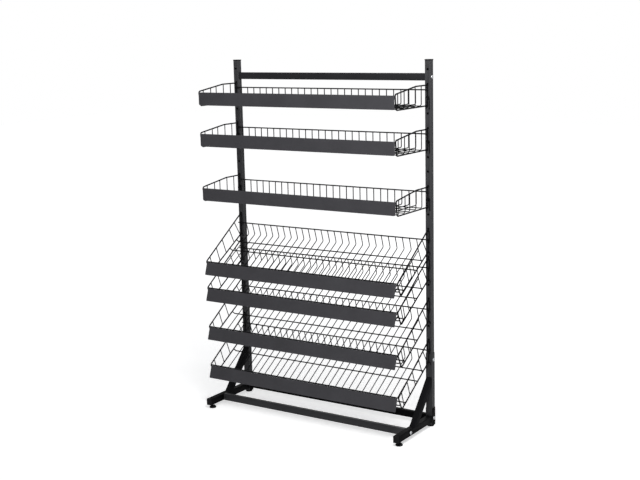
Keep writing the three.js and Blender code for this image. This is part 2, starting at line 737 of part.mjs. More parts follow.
// A sloping basket's wire frame: its floor runs down to the foot of a wall that leans forward.
function basketWires() {
  const lift = 2 * halfFlat(MESH_WIRE) + WELD_GAP;
  const topLine = [[FACE_Y, -BASKET_SIDE_DROP], [-BASKET_DEPTH, -BASKET_FRONT_DROP]];
  const lowLine = [[-BASKET_HEEL_REACH, -BASKET_HEEL_DROP], [FACE_Y, -BASKET_BACK_DROP]];
  const parts = [];
  for (const { sign } of SIDES) {
    const x = sign * WIRE_X;
    parts.push(wire(profileAt(x, [...topLine, ...lowLine]), FRAME_WIRE));
    BASKET_RUNG_TOP_SHARES.forEach((share, i) => {
      const top = onLine(...topLine, -share * BASKET_DEPTH);
      const footShare = BASKET_RUNG_FOOT_SHARES[i];
      const foot = onLine(...lowLine, -footShare * BASKET_HEEL_REACH);
      const ends = [top, foot];
      parts.push(wire(profileAt(x, ends), MESH_WIRE));
    });
    parts.push(hookWire(x, LOOP_SHOULDER));
    parts.push(loopWire(x, BASKET_RAIL_DROP + RAIL_WIRE));
    const stem = [-BASKET_RAIL_DROP, -BASKET_BACK_DROP - FRAME_WIRE].map((z) => [FACE_Y, z]);
    parts.push(wire(profileAt(x, stem), HOOK_WIRE));
    parts.push(stirrupWire(x, BASKET_STIRRUP_DROP, BASKET_STIRRUP_LENGTH));
  }
  for (const share of BASKET_LONG_WIRE_SHARES) {
    const end = onLine(...lowLine, -share * BASKET_HEEL_REACH);
    parts.push(bentLongWire(end, below(lowLine, end, BASKET_FLOOR_SINK)));
  }
  const [floorEnd, floorStart] = lowLine.map((point) => below(lowLine, point, BASKET_FLOOR_SINK - lift));
  const knee = onLine(floorStart, floorEnd, BASKET_KNEE_BACK);
  const corners = [[BACK_RAIL_Y, -BASKET_RAIL_DROP], knee, floorEnd, topLine[1]];
  for (const x of crossPlaces()) {
    parts.push(wire(profileAt(x, corners), MESH_WIRE));
  }
  const wall = [topLine[1], floorEnd];
  const wallReach = BASKET_HEEL_REACH + BASKET_WALL_WIRE_SHARE * (BASKET_DEPTH - BASKET_HEEL_REACH);
  const wallEnd = onLine(...wall, -wallReach);
  parts.push(bentLongWire(wallEnd, below(wall, wallEnd, lift)));
  parts.push(longWire(WIRE_X + LOOP_WIDTH, [BACK_RAIL_Y, -BASKET_RAIL_DROP], RAIL_WIRE));
  parts.push(longWire(WIRE_X, topLine[1], FRONT_WIRE, topLine));
  return fuse(parts);
}

// Front plate: sheet with a hem turned back along its lower edge and rounded lower corners.
function frontPlate(length, height, corner) {
  const half = length / 2;
  const face = new THREE.Shape();
  face.moveTo(-half, 0);
  face.absarc(-half + corner, -height + corner, corner, Math.PI, (3 * Math.PI) / 2);
  face.absarc(half - corner, -height + corner, corner, (3 * Math.PI) / 2, 2 * Math.PI);
  face.lineTo(half, 0);
  face.closePath();
  const sheet = new THREE.ExtrudeGeometry(face, {
    depth: PLATE_THICKNESS,
    bevelEnabled: false,
    curveSegments: CORNER_STEPS,
  });
  sheet.rotateX(Math.PI / 2);
  const hem = new THREE.BoxGeometry(length - 2 * corner, PLATE_HEM, PLATE_THICKNESS);
  hem.translate(0, PLATE_HEM / 2 - PLATE_THICKNESS, -height + PLATE_THICKNESS / 2);
  return fuse([sheet, hem]);
}

// Builds a shelf's wires and plate at the hole that carries it.
function buildShelf(name, index, wires, plate, plateTop, plateTilt) {
  const z = holeHeight(index);
  add(`${name}_wires`, geometryOf(wires), STEEL_BLACK, new THREE.Vector3(0, 0, z));
  const mesh = add(`${name}_plate`, geometryOf(plate), STEEL_BLACK);
  mesh.position.set(0, plateTop[0], z + plateTop[1]);
  mesh.rotation.x = plateTilt;
}

for (const side of SIDES) {
  buildPost(side);
  buildPostCap(side);
  buildShoe(side);
  buildFoot(side);
  buildBrace(side);
  buildBolts(side);
  buildPostInsert(side);
  buildGlide(side, "front", -FRONT_GLIDE_REACH, GLIDE_DOME, FOOT_BOTTOM, FOOT_TOP - TUBE_WALL - STUD_TIP_GAP);
  buildGlide(side, "rear", POST_HALF, 0, POST_BOTTOM, POST_BOTTOM + INSERT_DEPTH);
}
const clearSpan = POST_SPACING - POST_SIDE;
const heelSpan = clearSpan - 2 * (SHOE_THICKNESS + HEEL_THICKNESS + 3 * FIT_GAP);
buildRail("top_rail", POST_HALF, TOP_RAIL_Z, clearSpan);
buildRail("rear_rail", POST_HALF, REAR_RAIL_Z, heelSpan);
buildRail("front_rail", -FRONT_RAIL_REACH, FOOT_MID, clearSpan);

const tray = trayWires();
const trayPlate = frontPlate(TRAY_PLATE_LENGTH, TRAY_PLATE_HEIGHT, TRAY_PLATE_CORNER);
const plateGap = halfFlat(FRAME_WIRE) + FIT_GAP;
TRAY_HOLES.forEach((hole, i) => {
  const top = [-TRAY_DEPTH - plateGap, -TRAY_PLATE_DROP];
  buildShelf(`tray_${i + 1}`, hole, tray, trayPlate, top, 0);
});

const basket = basketWires();
const basketPlate = frontPlate(BASKET_PLATE_LENGTH, BASKET_PLATE_HEIGHT, BASKET_PLATE_CORNER);
const tilt = -THREE.MathUtils.degToRad(BASKET_PLATE_TILT);
BASKET_HOLES.forEach((hole, i) => {
  const top = [-BASKET_DEPTH - 2 * FIT_GAP, -BASKET_FRONT_DROP - Math.SQRT2 * halfFlat(FRONT_WIRE) - FIT_GAP];
  buildShelf(`basket_${i + 1}`, hole, basket, basketPlate, top, tilt);
});

export default rack;
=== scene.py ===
"""Looks of a free-standing wire display rack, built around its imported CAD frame.

Lengths are in millimetres in the classes, measured from the floor, the rack's middle line
and the front face of its posts. They become metres in the row frame when a mesh is made.
"""

import logging
import math
from abc import ABC, abstractmethod
from dataclasses import dataclass
from enum import Enum
from typing import Callable, Iterable, Sequence

import bpy
from mathutils import Matrix, Vector


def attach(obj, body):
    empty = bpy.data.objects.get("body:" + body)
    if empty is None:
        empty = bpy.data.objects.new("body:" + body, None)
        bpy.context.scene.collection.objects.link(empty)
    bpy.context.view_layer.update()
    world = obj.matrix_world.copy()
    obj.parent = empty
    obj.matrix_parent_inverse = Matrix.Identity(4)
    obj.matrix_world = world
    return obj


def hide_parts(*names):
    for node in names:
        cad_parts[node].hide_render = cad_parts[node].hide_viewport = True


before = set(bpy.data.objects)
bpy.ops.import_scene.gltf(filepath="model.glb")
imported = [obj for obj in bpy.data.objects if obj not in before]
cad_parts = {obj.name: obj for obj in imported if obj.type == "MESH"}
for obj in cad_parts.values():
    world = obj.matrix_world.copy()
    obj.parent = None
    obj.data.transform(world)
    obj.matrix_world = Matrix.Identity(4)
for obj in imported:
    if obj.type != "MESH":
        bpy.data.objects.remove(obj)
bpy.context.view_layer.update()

LOG = logging.getLogger("wire_rack")
MM = 0.001
Point = tuple[float, float]
Triple = tuple[float, float, float]
Colour = Triple
Place = Callable[[float, float, float], Vector]
Socket = bpy.types.NodeSocket
Material = bpy.types.Material
Object = bpy.types.Object


class Side(Enum):
    """The two sides of the rack, seen from the front."""

    LEFT = -1
    RIGHT = 1

    @property
    def label(self) -> str:
        """The side's word in piece names."""
        return self.name.lower()


class End(Enum):
    """The two ends of a foot, where the glides stand."""

    FRONT = "front"
    REAR = "rear"


class Axis(Enum):
    """The direction of a drill: across, from front to back, or upright."""

    ACROSS = "x"
    BACK = "y"
    UP = "z"


class Slot(Enum):
    """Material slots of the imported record."""

    STEEL = "powder_coat"
    PLASTIC = "black_plastic"
    ZINC = "zinc"


class Nodes:
    """A node tree with short ways to add and join nodes."""

    def __init__(self, tree: bpy.types.NodeTree) -> None:
        """Takes the tree that the nodes go into."""
        self.tree = tree

    def add(self, kind: str, **settings: object) -> bpy.types.Node:
        """Adds a node and sets its properties and inputs.

        Args:
            kind: The node's class name.
            **settings: Properties, or inputs by name with spaces as underscores.

        Returns:
            The new node.
        """
        node = self.tree.nodes.new(kind)
        for key, value in settings.items():
            if hasattr(node, key):
                setattr(node, key, value)
            else:
                node.inputs[key.replace("_", " ")].default_value = value
        return node

    def join(self, source: Socket, target: Socket) -> None:
        """Links two sockets."""
        self.tree.links.new(source, target)

    def seen(self) -> Socket:
        """Tells whether a ray shows the background itself: straight, in a gloss or through glass.

        Returns:
            A value of 1 for such a ray and 0 for the light that falls on the rack.
        """
        path = self.add("ShaderNodeLightPath")
        shown = path.outputs["Is Camera Ray"]
        for ray in ("Is Glossy Ray", "Is Transmission Ray"):
            either = self.add("ShaderNodeMath", operation="MAXIMUM")
            self.join(shown, either.inputs[0])
            self.join(path.outputs[ray], either.inputs[1])
            shown = either.outputs["Value"]
        return shown


class NodeSheet(Nodes):
    """A material's node tree, with the patterns that the finishes share."""

    MIX_COLOURS = (6, 7)
    MIX_RESULT = 2

    def __init__(self, name: str) -> None:
        """Starts a material with one Principled shader.

        Args:
            name: The material's name.
        """
        self.material = bpy.data.materials.new(name)
        self.material.use_nodes = True
        super().__init__(self.material.node_tree)
        self.shader = self.tree.nodes["Principled BSDF"]

    def place(self) -> Socket:
        """Returns object coordinates, which stay with the piece when it moves."""
        return self.add("ShaderNodeTexCoord").outputs["Object"]

    def noise(self, place: Socket, scale: float, detail: float) -> Socket:
        """Adds a noise of the given grain.

        Args:
            place: Coordinates.
            scale: Grains per metre.
            detail: Octaves.

        Returns:
            The noise's factor.
        """
        node = self.add("ShaderNodeTexNoise", Scale=scale, Detail=detail, Roughness=0.55)
        self.join(place, node.inputs["Vector"])
        return node.outputs["Fac"]

    def span(self, source: Socket, low: float, high: float) -> Socket:
        """Maps the middle of a noise to a range.

        Args:
            source: The noise.
            low: Value at 0.3.
            high: Value at 0.7.

        Returns:
            The mapped value.
        """
        node = self.add("ShaderNodeMapRange", From_Min=0.3, From_Max=0.7, To_Min=low, To_Max=high)
        self.join(source, node.inputs["Value"])
        return node.outputs["Result"]

    def blend(
        self,
        factor: Socket,
        first: Socket | Colour,
        second: Colour,
    ) -> Socket:
        """Mixes two colours.

        Args:
            factor: Mixing factor.
            first: Colour at 0, or the socket that gives it.
            second: Colour at 1.

        Returns:
            The mixed colour.
        """
        node = self.add("ShaderNodeMix", data_type="RGBA")
        low, high = (node.inputs[i] for i in self.MIX_COLOURS)
        self.join(factor, node.inputs["Factor"])
        if isinstance(first, Socket):
            self.join(first, low)
        else:
            low.default_value = (*first, 1.0)
        high.default_value = (*second, 1.0)
        return node.outputs[self.MIX_RESULT]

    def bump(self, height: Socket, strength: float, depth: float) -> None:
        """Raises the surface by a height map, after any bump that is there already.

        Args:
            height: The height map.
            strength: Share of the effect.
            depth: Height of the relief in metres.
        """
        node = self.add("ShaderNodeBump", Strength=strength, Distance=depth)
        self.join(height, node.inputs["Height"])
        link = self.shader.inputs["Normal"].links
        if link:
            self.join(link[0].from_socket, node.inputs["Normal"])
        self.join(node.outputs["Normal"], self.shader.inputs["Normal"])


@dataclass(frozen=True)
class PowderCoat:
    """Charcoal powder coat: a baked, fine-grained paint film on steel."""

    name: str = "charcoal_powder_coat"
    tint: Colour = (0.045, 0.044, 0.0485)
    lighter: Colour = (0.054, 0.053, 0.0585)
    rub: Colour = (0.075, 0.075, 0.078)
    cloud: float = 9.0
    grain: float = 1500.0
    grain_depth: float = 0.00005
    peel: float = 240.0
    peel_depth: float = 0.00012
    worn: Point = (0.53, 0.6)
    worn_share: float = 0.35
    roughness: Point = (0.44, 0.56)
    specular: float = 0.12

    def material(self) -> Material:
        """Mixes the paint, with orange peel, fine grain and slightly rubbed edges.

        Returns:
            The material.
        """
        sheet = NodeSheet(self.name)
        place = sheet.place()
        broad = sheet.noise(place, self.cloud, 3.0)
        peel = sheet.noise(place, self.peel, 2.0)
        grain = sheet.noise(place, self.grain, 3.0)
        colour = sheet.blend(sheet.span(broad, 0.0, 1.0), self.tint, self.lighter)
        edge = sheet.add("ShaderNodeNewGeometry").outputs["Pointiness"]
        start, end = self.worn
        worn = sheet.add("ShaderNodeMapRange", From_Min=start, From_Max=end, To_Max=self.worn_share)
        sheet.join(edge, worn.inputs["Value"])
        rubbed = sheet.blend(worn.outputs["Result"], colour, self.rub)
        sheet.join(rubbed, sheet.shader.inputs["Base Color"])
        sheet.join(sheet.span(peel, *self.roughness), sheet.shader.inputs["Roughness"])
        sheet.shader.inputs["Specular IOR Level"].default_value = self.specular
        sheet.bump(peel, 0.25, self.peel_depth)
        sheet.bump(grain, 0.3, self.grain_depth)
        return sheet.material


@dataclass(frozen=True)
class MouldedPlastic:
    """Black moulded plastic of the caps, plugs and glides."""

    name: str = "black_moulded_plastic"
    tint: Colour = (0.005, 0.005, 0.0055)
    scuffed: Colour = (0.01, 0.01, 0.011)
    scuff: float = 60.0
    grain: float = 900.0
    grain_depth: float = 0.00006
    roughness: Point = (0.42, 0.6)
    specular: float = 0.06

    def material(self) -> Material:
        """Mixes the plastic, with a spark-eroded grain and faint scuffs.

        Returns:
            The material.
        """
        sheet = NodeSheet(self.name)
        place = sheet.place()
        scuff = sheet.noise(place, self.scuff, 4.0)
        grain = sheet.noise(place, self.grain, 2.0)
        colour = sheet.blend(sheet.span(scuff, 0.0, 1.0), self.tint, self.scuffed)
        sheet.join(colour, sheet.shader.inputs["Base Color"])
        sheet.join(sheet.span(scuff, *self.roughness), sheet.shader.inputs["Roughness"])
        sheet.shader.inputs["Specular IOR Level"].default_value = self.specular
        sheet.bump(grain, 0.25, self.grain_depth)
        return sheet.material


@dataclass(frozen=True)
class ZincPlate:
    """Bright zinc plate of the bolts, studs and nuts."""

    name: str = "bright_zinc"
    tint: Colour = (0.5, 0.51, 0.53)
    dull: Colour = (0.3, 0.31, 0.32)
    cloud: float = 350.0
    marks: float = 2600.0
    mark_depth: float = 0.00003
    roughness: Point = (0.3, 0.48)

    def material(self) -> Material:
        """Mixes the metal, with cloudy passivation and fine turning marks.

        Returns:
            The material.
        """
        sheet = NodeSheet(self.name)
        place = sheet.place()
        cloud = sheet.noise(place, self.cloud, 3.0)
        fine = sheet.noise(place, self.marks, 2.0)
        colour = sheet.blend(sheet.span(cloud, 0.0, 1.0), self.tint, self.dull)
        sheet.join(colour, sheet.shader.inputs["Base Color"])
        sheet.join(sheet.span(cloud, *self.roughness), sheet.shader.inputs["Roughness"])
        sheet.shader.inputs["Metallic"].default_value = 1.0
        sheet.bump(fine, 0.15, self.mark_depth)
        return sheet.material


PLATE_COAT = PowderCoat(name="plate_powder_coat")
TUBE_COAT = PowderCoat(
    name="tube_powder_coat",
    tint=(0.04, 0.04, 0.043),
    lighter=(0.047, 0.047, 0.05),
    specular=0.1,
)
# Darker copy of the same charcoal coat, for the top rail: its darkness is painted shade.
RAIL_SHADE_COAT = PowderCoat(
    name="rail_coat_painted_shade",
    tint=(0.017, 0.017, 0.019),
    lighter=(0.022, 0.022, 0.024),
    specular=0.08,
)
# Much darker copy of the same charcoal coat, for the feet, braces, rear rail and heel plates: its
# darkness is painted shade of the low parts.
BASE_SHADE_COAT = PowderCoat(
    name="base_coat_painted_shade",
    tint=(0.003, 0.003, 0.0034),
    lighter=(0.005, 0.005, 0.0055),
    rub=(0.018, 0.018, 0.02),
    roughness=(0.5, 0.62),
    specular=0.02,
)
WIRE_COAT = PowderCoat(
    name="wire_powder_coat",
    grain=2200.0,
    peel=600.0,
    tint=(0.003, 0.003, 0.0035),
    lighter=(0.005, 0.005, 0.0055),
    rub=(0.02, 0.02, 0.022),
    roughness=(0.5, 0.62),
    specular=0.03,
)


class Finishes:
    """The rack's finishes, made once and shared by its pieces."""

    def __init__(self) -> None:
        """Makes every material."""
        self.plate = PLATE_COAT.material()
        self.steel = TUBE_COAT.material()
        # The rail coat is the charcoal coat darkened with painted shade.
        self.rail = RAIL_SHADE_COAT.material()
        # The base coat is the charcoal coat darkened with painted shade.
        self.base = BASE_SHADE_COAT.material()
        self.wire = WIRE_COAT.material()
        self.plastic = MouldedPlastic().material()
        self.zinc = ZincPlate().material()


@dataclass(frozen=True)
class Layout:
    """Sizes that every sub-assembly shares with the CAD frame."""

    post_spacing: float = 980.0
    post_side: float = 26.0
    tube_wall: float = 1.5
    corner: float = 2.2
    post_bottom: float = 6.0
    post_length: float = 1558.0
    hole_margin: float = 36.0
    hole_pitch: float = 60.0
    hole_count: int = 21
    hole_diameter: float = 10.0
    foot_bottom: float = 18.0
    foot_height: float = 30.0
    foot_length: float = 290.0
    front_rail_y: float = -189.0
    front_glide_y: float = -265.0
    top_rail_z: float = 1496.5
    rear_rail_z: float = 37.0
    shoe_bolt_z: float = 298.0
    shoe_sheet: float = 1.6
    heel_sheet: float = 1.5
    bolt_hole: float = 8.6
    face_shift: float = 131.65
    fit_gap: float = 0.3

    @property
    def post_x(self) -> float:
        """Distance of a post's middle from the rack's middle line."""
        return self.post_spacing / 2

    @property
    def post_half(self) -> float:
        """Half the width of a post."""
        return self.post_side / 2

    @property
    def post_top(self) -> float:
        """Height of the posts' upper ends."""
        return self.post_bottom + self.post_length

    @property
    def top_hole(self) -> float:
        """Height of the uppermost hole."""
        return self.post_top - self.hole_margin

    @property
    def foot_top(self) -> float:
        """Height of the feet's upper faces."""
        return self.foot_bottom + self.foot_height

    @property
    def foot_mid(self) -> float:
        """Height of the feet's middle line."""
        return self.foot_bottom + self.foot_height / 2

    @property
    def wrap(self) -> float:
        """What shoe and heel plate add to one side of a post, with their gaps."""
        return self.shoe_sheet + self.heel_sheet + 3 * self.fit_gap

    def hole(self, index: int) -> float:
        """Returns the height of a hole, counted from the top."""
        return self.top_hole - index * self.hole_pitch


RACK = Layout()


def put(name: str, data: bpy.types.ID) -> Object:
    """Puts a new object in the scene and returns it."""
    thing = bpy.data.objects.new(name, data)
    bpy.context.scene.collection.objects.link(thing)
    return thing


def turns(count: int) -> list[float]:
    """Returns evenly spaced angles round a circle."""
    return [2 * math.pi * k / count for k in range(count)]


def hexagon(flat: float, turn: float) -> float:
    """Returns how far a hexagon's edge is from its middle in the direction of a turn."""
    return flat / math.cos(turn % (math.pi / 3) - math.pi / 6)


class Sketch:
    """Gathers the vertices and faces of one mesh."""

    BLUNT_SHARE = 0.72
    BLUNT_LENGTH = 0.35
    EDGE_STEPS = 2
    EDGE_ANGLE = 40.0

    def __init__(self) -> None:
        """Starts with nothing."""
        self.points: list[Vector] = []
        self.faces: list[tuple[int, ...]] = []

    def ring(self, points: Iterable[Vector]) -> list[int]:
        """Adds a ring of points.

        Args:
            points: The points, in order round the ring.

        Returns:
            Their numbers.
        """
        start = len(self.points)
        self.points.extend(Vector(p) for p in points)
        return list(range(start, len(self.points)))

    def bridge(self, first: Sequence[int], second: Sequence[int]) -> None:
        """Joins two rings of equal count with quads.

        Args:
            first: Numbers of the first ring's points.
            second: Numbers of the second ring's points.
        """
        count = len(first)
        for i in range(count):
            j = (i + 1) % count
            self.faces.append((first[i], first[j], second[j], second[i]))

    def cap(self, ring: Sequence[int], flip: bool = False) -> None:
        """Closes a ring with one face."""
        self.faces.append(tuple(reversed(ring)) if flip else tuple(ring))

    def loft(self, rings: Sequence[Sequence[Vector]], closed: bool = False) -> None:
        """Skins rings one after the other.

        Args:
            rings: The rings, each with the same count of points.
            closed: True to join the last ring to the first, as round a tube wall.
        """
        made = [self.ring(r) for r in rings]
        for a, b in zip(made, made[1:]):
            self.bridge(a, b)
        if closed:
            self.bridge(made[-1], made[0])
        else:
            self.cap(made[0], flip=True)
            self.cap(made[-1])

    def wire(
        self,
        corners: Sequence[Vector],
        diameter: float,
        bend: float = 6.0,
        sides: int = 10,
    ) -> None:
        """Sweeps a round wire through corners, with true bends and slightly blunted ends.

        Args:
            corners: The corners of its centre line.
            diameter: The wire's diameter.
            bend: Radius of the centre line at each corner.
            sides: Facets round the wire.
        """
        line = rounded_line(corners, bend)
        radius = diameter / 2
        ahead = (line[1] - line[0]).normalized()
        behind = (line[-1] - line[-2]).normalized()
        tip = radius * self.BLUNT_LENGTH
        stations = [(line[0], self.BLUNT_SHARE), (line[0] + ahead * tip, 1.0)]
        stations += [(p, 1.0) for p in line[1:-1]]
        stations += [(line[-1] - behind * tip, 1.0), (line[-1], self.BLUNT_SHARE)]
        normal = ahead.orthogonal().normalized()
        rings = []
        previous = ahead
        for i, (point, share) in enumerate(stations):
            before = stations[max(i - 1, 0)][0]
            after = stations[min(i + 1, len(stations) - 1)][0]
            along = (after - before).normalized()
            normal = previous.rotation_difference(along) @ normal
            normal = (normal - along * normal.dot(along)).normalized()
            across = along.cross(normal)
            previous = along
            ring = [normal * math.cos(t) + across * math.sin(t) for t in turns(sides)]
            rings.append([point + out * radius * share for out in ring])
        self.loft(rings)

    def nugget(self, centre: Sequence[float], size: Sequence[float], sides: int = 8) -> None:
        """Adds the small swelling that a spot weld leaves.

        Args:
            centre: Its middle.
            size: Half its width along X, Y and Z.
            sides: Facets round it.
        """
        wide, deep, tall = size
        rings = []
        for polar in (math.pi / 4, math.pi / 2, math.pi * 3 / 4):
            u, v, rise = wide * math.sin(polar), deep * math.sin(polar), -tall * math.cos(polar)
            ring = [Vector((u * math.cos(t), v * math.sin(t), rise)) for t in turns(sides)]
            rings.append([Vector(centre) + out for out in ring])
        self.loft(rings)

    def piece(
        self,
        name: str,
        material: Material,
        smooth: float = 35.0,
        edge: float = 0.0,
        holes: Sequence["Sketch"] = (),
    ) -> Object:
        """Makes the object, in metres in the row frame.

        Args:
            name: The piece's name.
            material: Its finish.
            smooth: Angle in degrees below which neighbouring faces shade as one.
            edge: Radius of the broken edges in millimetres, or 0.
            holes: Solids to cut out.

        Returns:
            The new object.
        """
        body = self.raw(name, material)
        tools = []
        for i, hole in enumerate(holes):
            tool = hole.raw(f"{name}_cut_{i}", material)
            tools.append(tool)
            cut = body.modifiers.new("cut", "BOOLEAN")
            cut.operation = "DIFFERENCE"
            cut.solver = "EXACT"
            cut.object = tool
        if edge > 0:
            bevel = body.modifiers.new("edge", "BEVEL")
            bevel.width = edge * MM
            bevel.segments = self.EDGE_STEPS
            bevel.limit_method = "ANGLE"
            bevel.angle_limit = math.radians(self.EDGE_ANGLE)
        bpy.context.view_layer.update()
        graph = bpy.context.evaluated_depsgraph_get()
        made = bpy.data.meshes.new_from_object(body.evaluated_get(graph))
        body.modifiers.clear()
        body.data = made
        made.name = name
        for tool in tools:
            bpy.data.objects.remove(tool)
        made.shade_smooth()
        made.set_sharp_from_angle(angle=math.radians(smooth))
        return body

    def raw(self, name: str, material: Material) -> Object:
        """Makes the bare object, with no modifier applied.

        Args:
            name: The object's name.
            material: Its finish.

        Returns:
            The new object.
        """
        mesh = bpy.data.meshes.new(name)
        shift = Vector((0.0, RACK.face_shift, 0.0))
        mesh.from_pydata([(p + shift) * MM for p in self.points], [], self.faces)
        mesh.materials.append(material)
        return put(name, mesh)


STRAIGHT = math.radians(178)
LEG_SHARE = 0.48


def rounded_line(corners: Sequence[Vector], bend: float, steps: int = 5) -> list[Vector]:
    """Rounds the corners of a line with arcs, except where it runs straight on.

    Args:
        corners: The line's corners.
        bend: Radius of the arcs, which is less where they would take up half of a short leg.
        steps: Pieces in each arc.

    Returns:
        The points of the rounded line.
    """
    line = [Vector(corners[0])]
    for before, corner, after in zip(corners, corners[1:], corners[2:]):
        to_before, to_after = before - corner, after - corner
        turn = to_before.angle(to_after)
        if turn > STRAIGHT:
            line.append(Vector(corner))
            continue
        shorter = min(to_before.length, to_after.length)
        reach = min(bend / math.tan(turn / 2), LEG_SHARE * shorter)
        radius = reach * math.tan(turn / 2)
        start = corner + to_before.normalized() * reach
        end = corner + to_after.normalized() * reach
        halfway = (to_before.normalized() + to_after.normalized()).normalized()
        middle = corner + halfway * (radius / math.sin(turn / 2))
        from_middle, to_end = start - middle, end - middle
        sweep = from_middle.angle(to_end)
        axis = from_middle.cross(to_end).normalized()
        for i in range(steps + 1):
            line.append(middle + Matrix.Rotation(sweep * i / steps, 3, axis) @ from_middle)
    line.append(Vector(corners[-1]))
    return line


def rounded_box(width: float, height: float, radius: float, steps: int = 4) -> list[Point]:
    """Outline of a rectangle with rounded corners, counter-clockwise.

    Args:
        width: Across.
        height: Up.
        radius: Of the corners.
        steps: Pieces in each corner.

    Returns:
        The outline's points round the middle.
    """
    outline = []
    for i, (sx, sy) in enumerate(((1, -1), (1, 1), (-1, 1), (-1, -1))):
        for k in range(steps + 1):
            turn = math.pi / 2 * (i - 1 + k / steps)
            outline.append(
                (
                    sx * (width / 2 - radius) + radius * math.cos(turn),
                    sy * (height / 2 - radius) + radius * math.sin(turn),
                )
            )
    return outline


def tube(
    width: float,
    height: float,
    place: Place,
    start: Callable[[float, float], float],
    end: Callable[[float, float], float],
) -> Sketch:
    """A rectangular tube with rounded corners and open, squarely or slantwise cut ends.

    Args:
        width: Outside width.
        height: Outside height.
        place: Turns (across, up, along) into a point.
        start: Gives "along" of the first end for an outline point.
        end: Gives "along" of the other end for an outline point.

    Returns:
        The tube.
    """
    wall = RACK.tube_wall
    outer = rounded_box(width, height, RACK.corner)
    inner = rounded_box(width - 2 * wall, height - 2 * wall, max(RACK.corner - wall, 0.5))
    rings = [
        [place(u, v, start(u, v)) for u, v in outer],
        [place(u, v, end(u, v)) for u, v in outer],
        [place(u, v, end(u, v)) for u, v in inner],
        [place(u, v, start(u, v)) for u, v in inner],
    ]
    made = Sketch()
    made.loft(rings, closed=True)
    return made


def disc(
    axis: Axis,
    half_length: float,
    centre: Sequence[float],
    diameter: float,
    sides: int = 20,
) -> Sketch:
    """A plain round solid, used as a punch or a drill.

    Args:
        axis: Its direction.
        half_length: Half its length.
        centre: Its middle.
        diameter: Of the hole that it makes.
        sides: Facets round it.

    Returns:
        The solid.
    """
    made = Sketch()
    rings = []
    for w in (-half_length, half_length):
        ring = []
        for turn in turns(sides):
            u, v = diameter / 2 * math.cos(turn), diameter / 2 * math.sin(turn)
            offsets = {Axis.ACROSS: (w, u, v), Axis.BACK: (v, w, u), Axis.UP: (u, v, w)}
            ring.append(Vector(centre) + Vector(offsets[axis]))
        rings.append(ring)
    made.loft(rings)
    return made


def boxes(rings: Iterable[tuple[float, float, float, float]], place: Place) -> Sketch:
    """A solid skinned over rectangles with rounded corners.

    Args:
        rings: Width, height, corner radius and place along of each rectangle.
        place: Turns (across, up, along) into a point.

    Returns:
        The solid.
    """
    made = Sketch()
    made.loft([[place(u, v, w) for u, v in rounded_box(a, b, r)] for a, b, r, w in rings])
    return made


def merged(parts: Iterable[Sketch]) -> Sketch:
    """Puts several sketches in one.

    Args:
        parts: The sketches.

    Returns:
        One sketch with all their points and faces.
    """
    whole = Sketch()
    for part in parts:
        start = len(whole.points)
        whole.points.extend(part.points)
        whole.faces.extend(tuple(i + start for i in f) for f in part.faces)
    return whole


def settle(piece: Object, body: str, slot: Slot, *nodes: str) -> Object:
    """Puts a finished piece on its body in place of its CAD nodes.

    Args:
        piece: The new piece.
        body: The CAD body that it rides on.
        slot: The record's material slot; it is not used.
        *nodes: The CAD nodes that it stands for.

    Returns:
        The piece.
    """
    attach(piece, body)
    if nodes:
        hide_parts(*nodes)
    LOG.info("%s rides on %s", piece.name, body)
    return piece


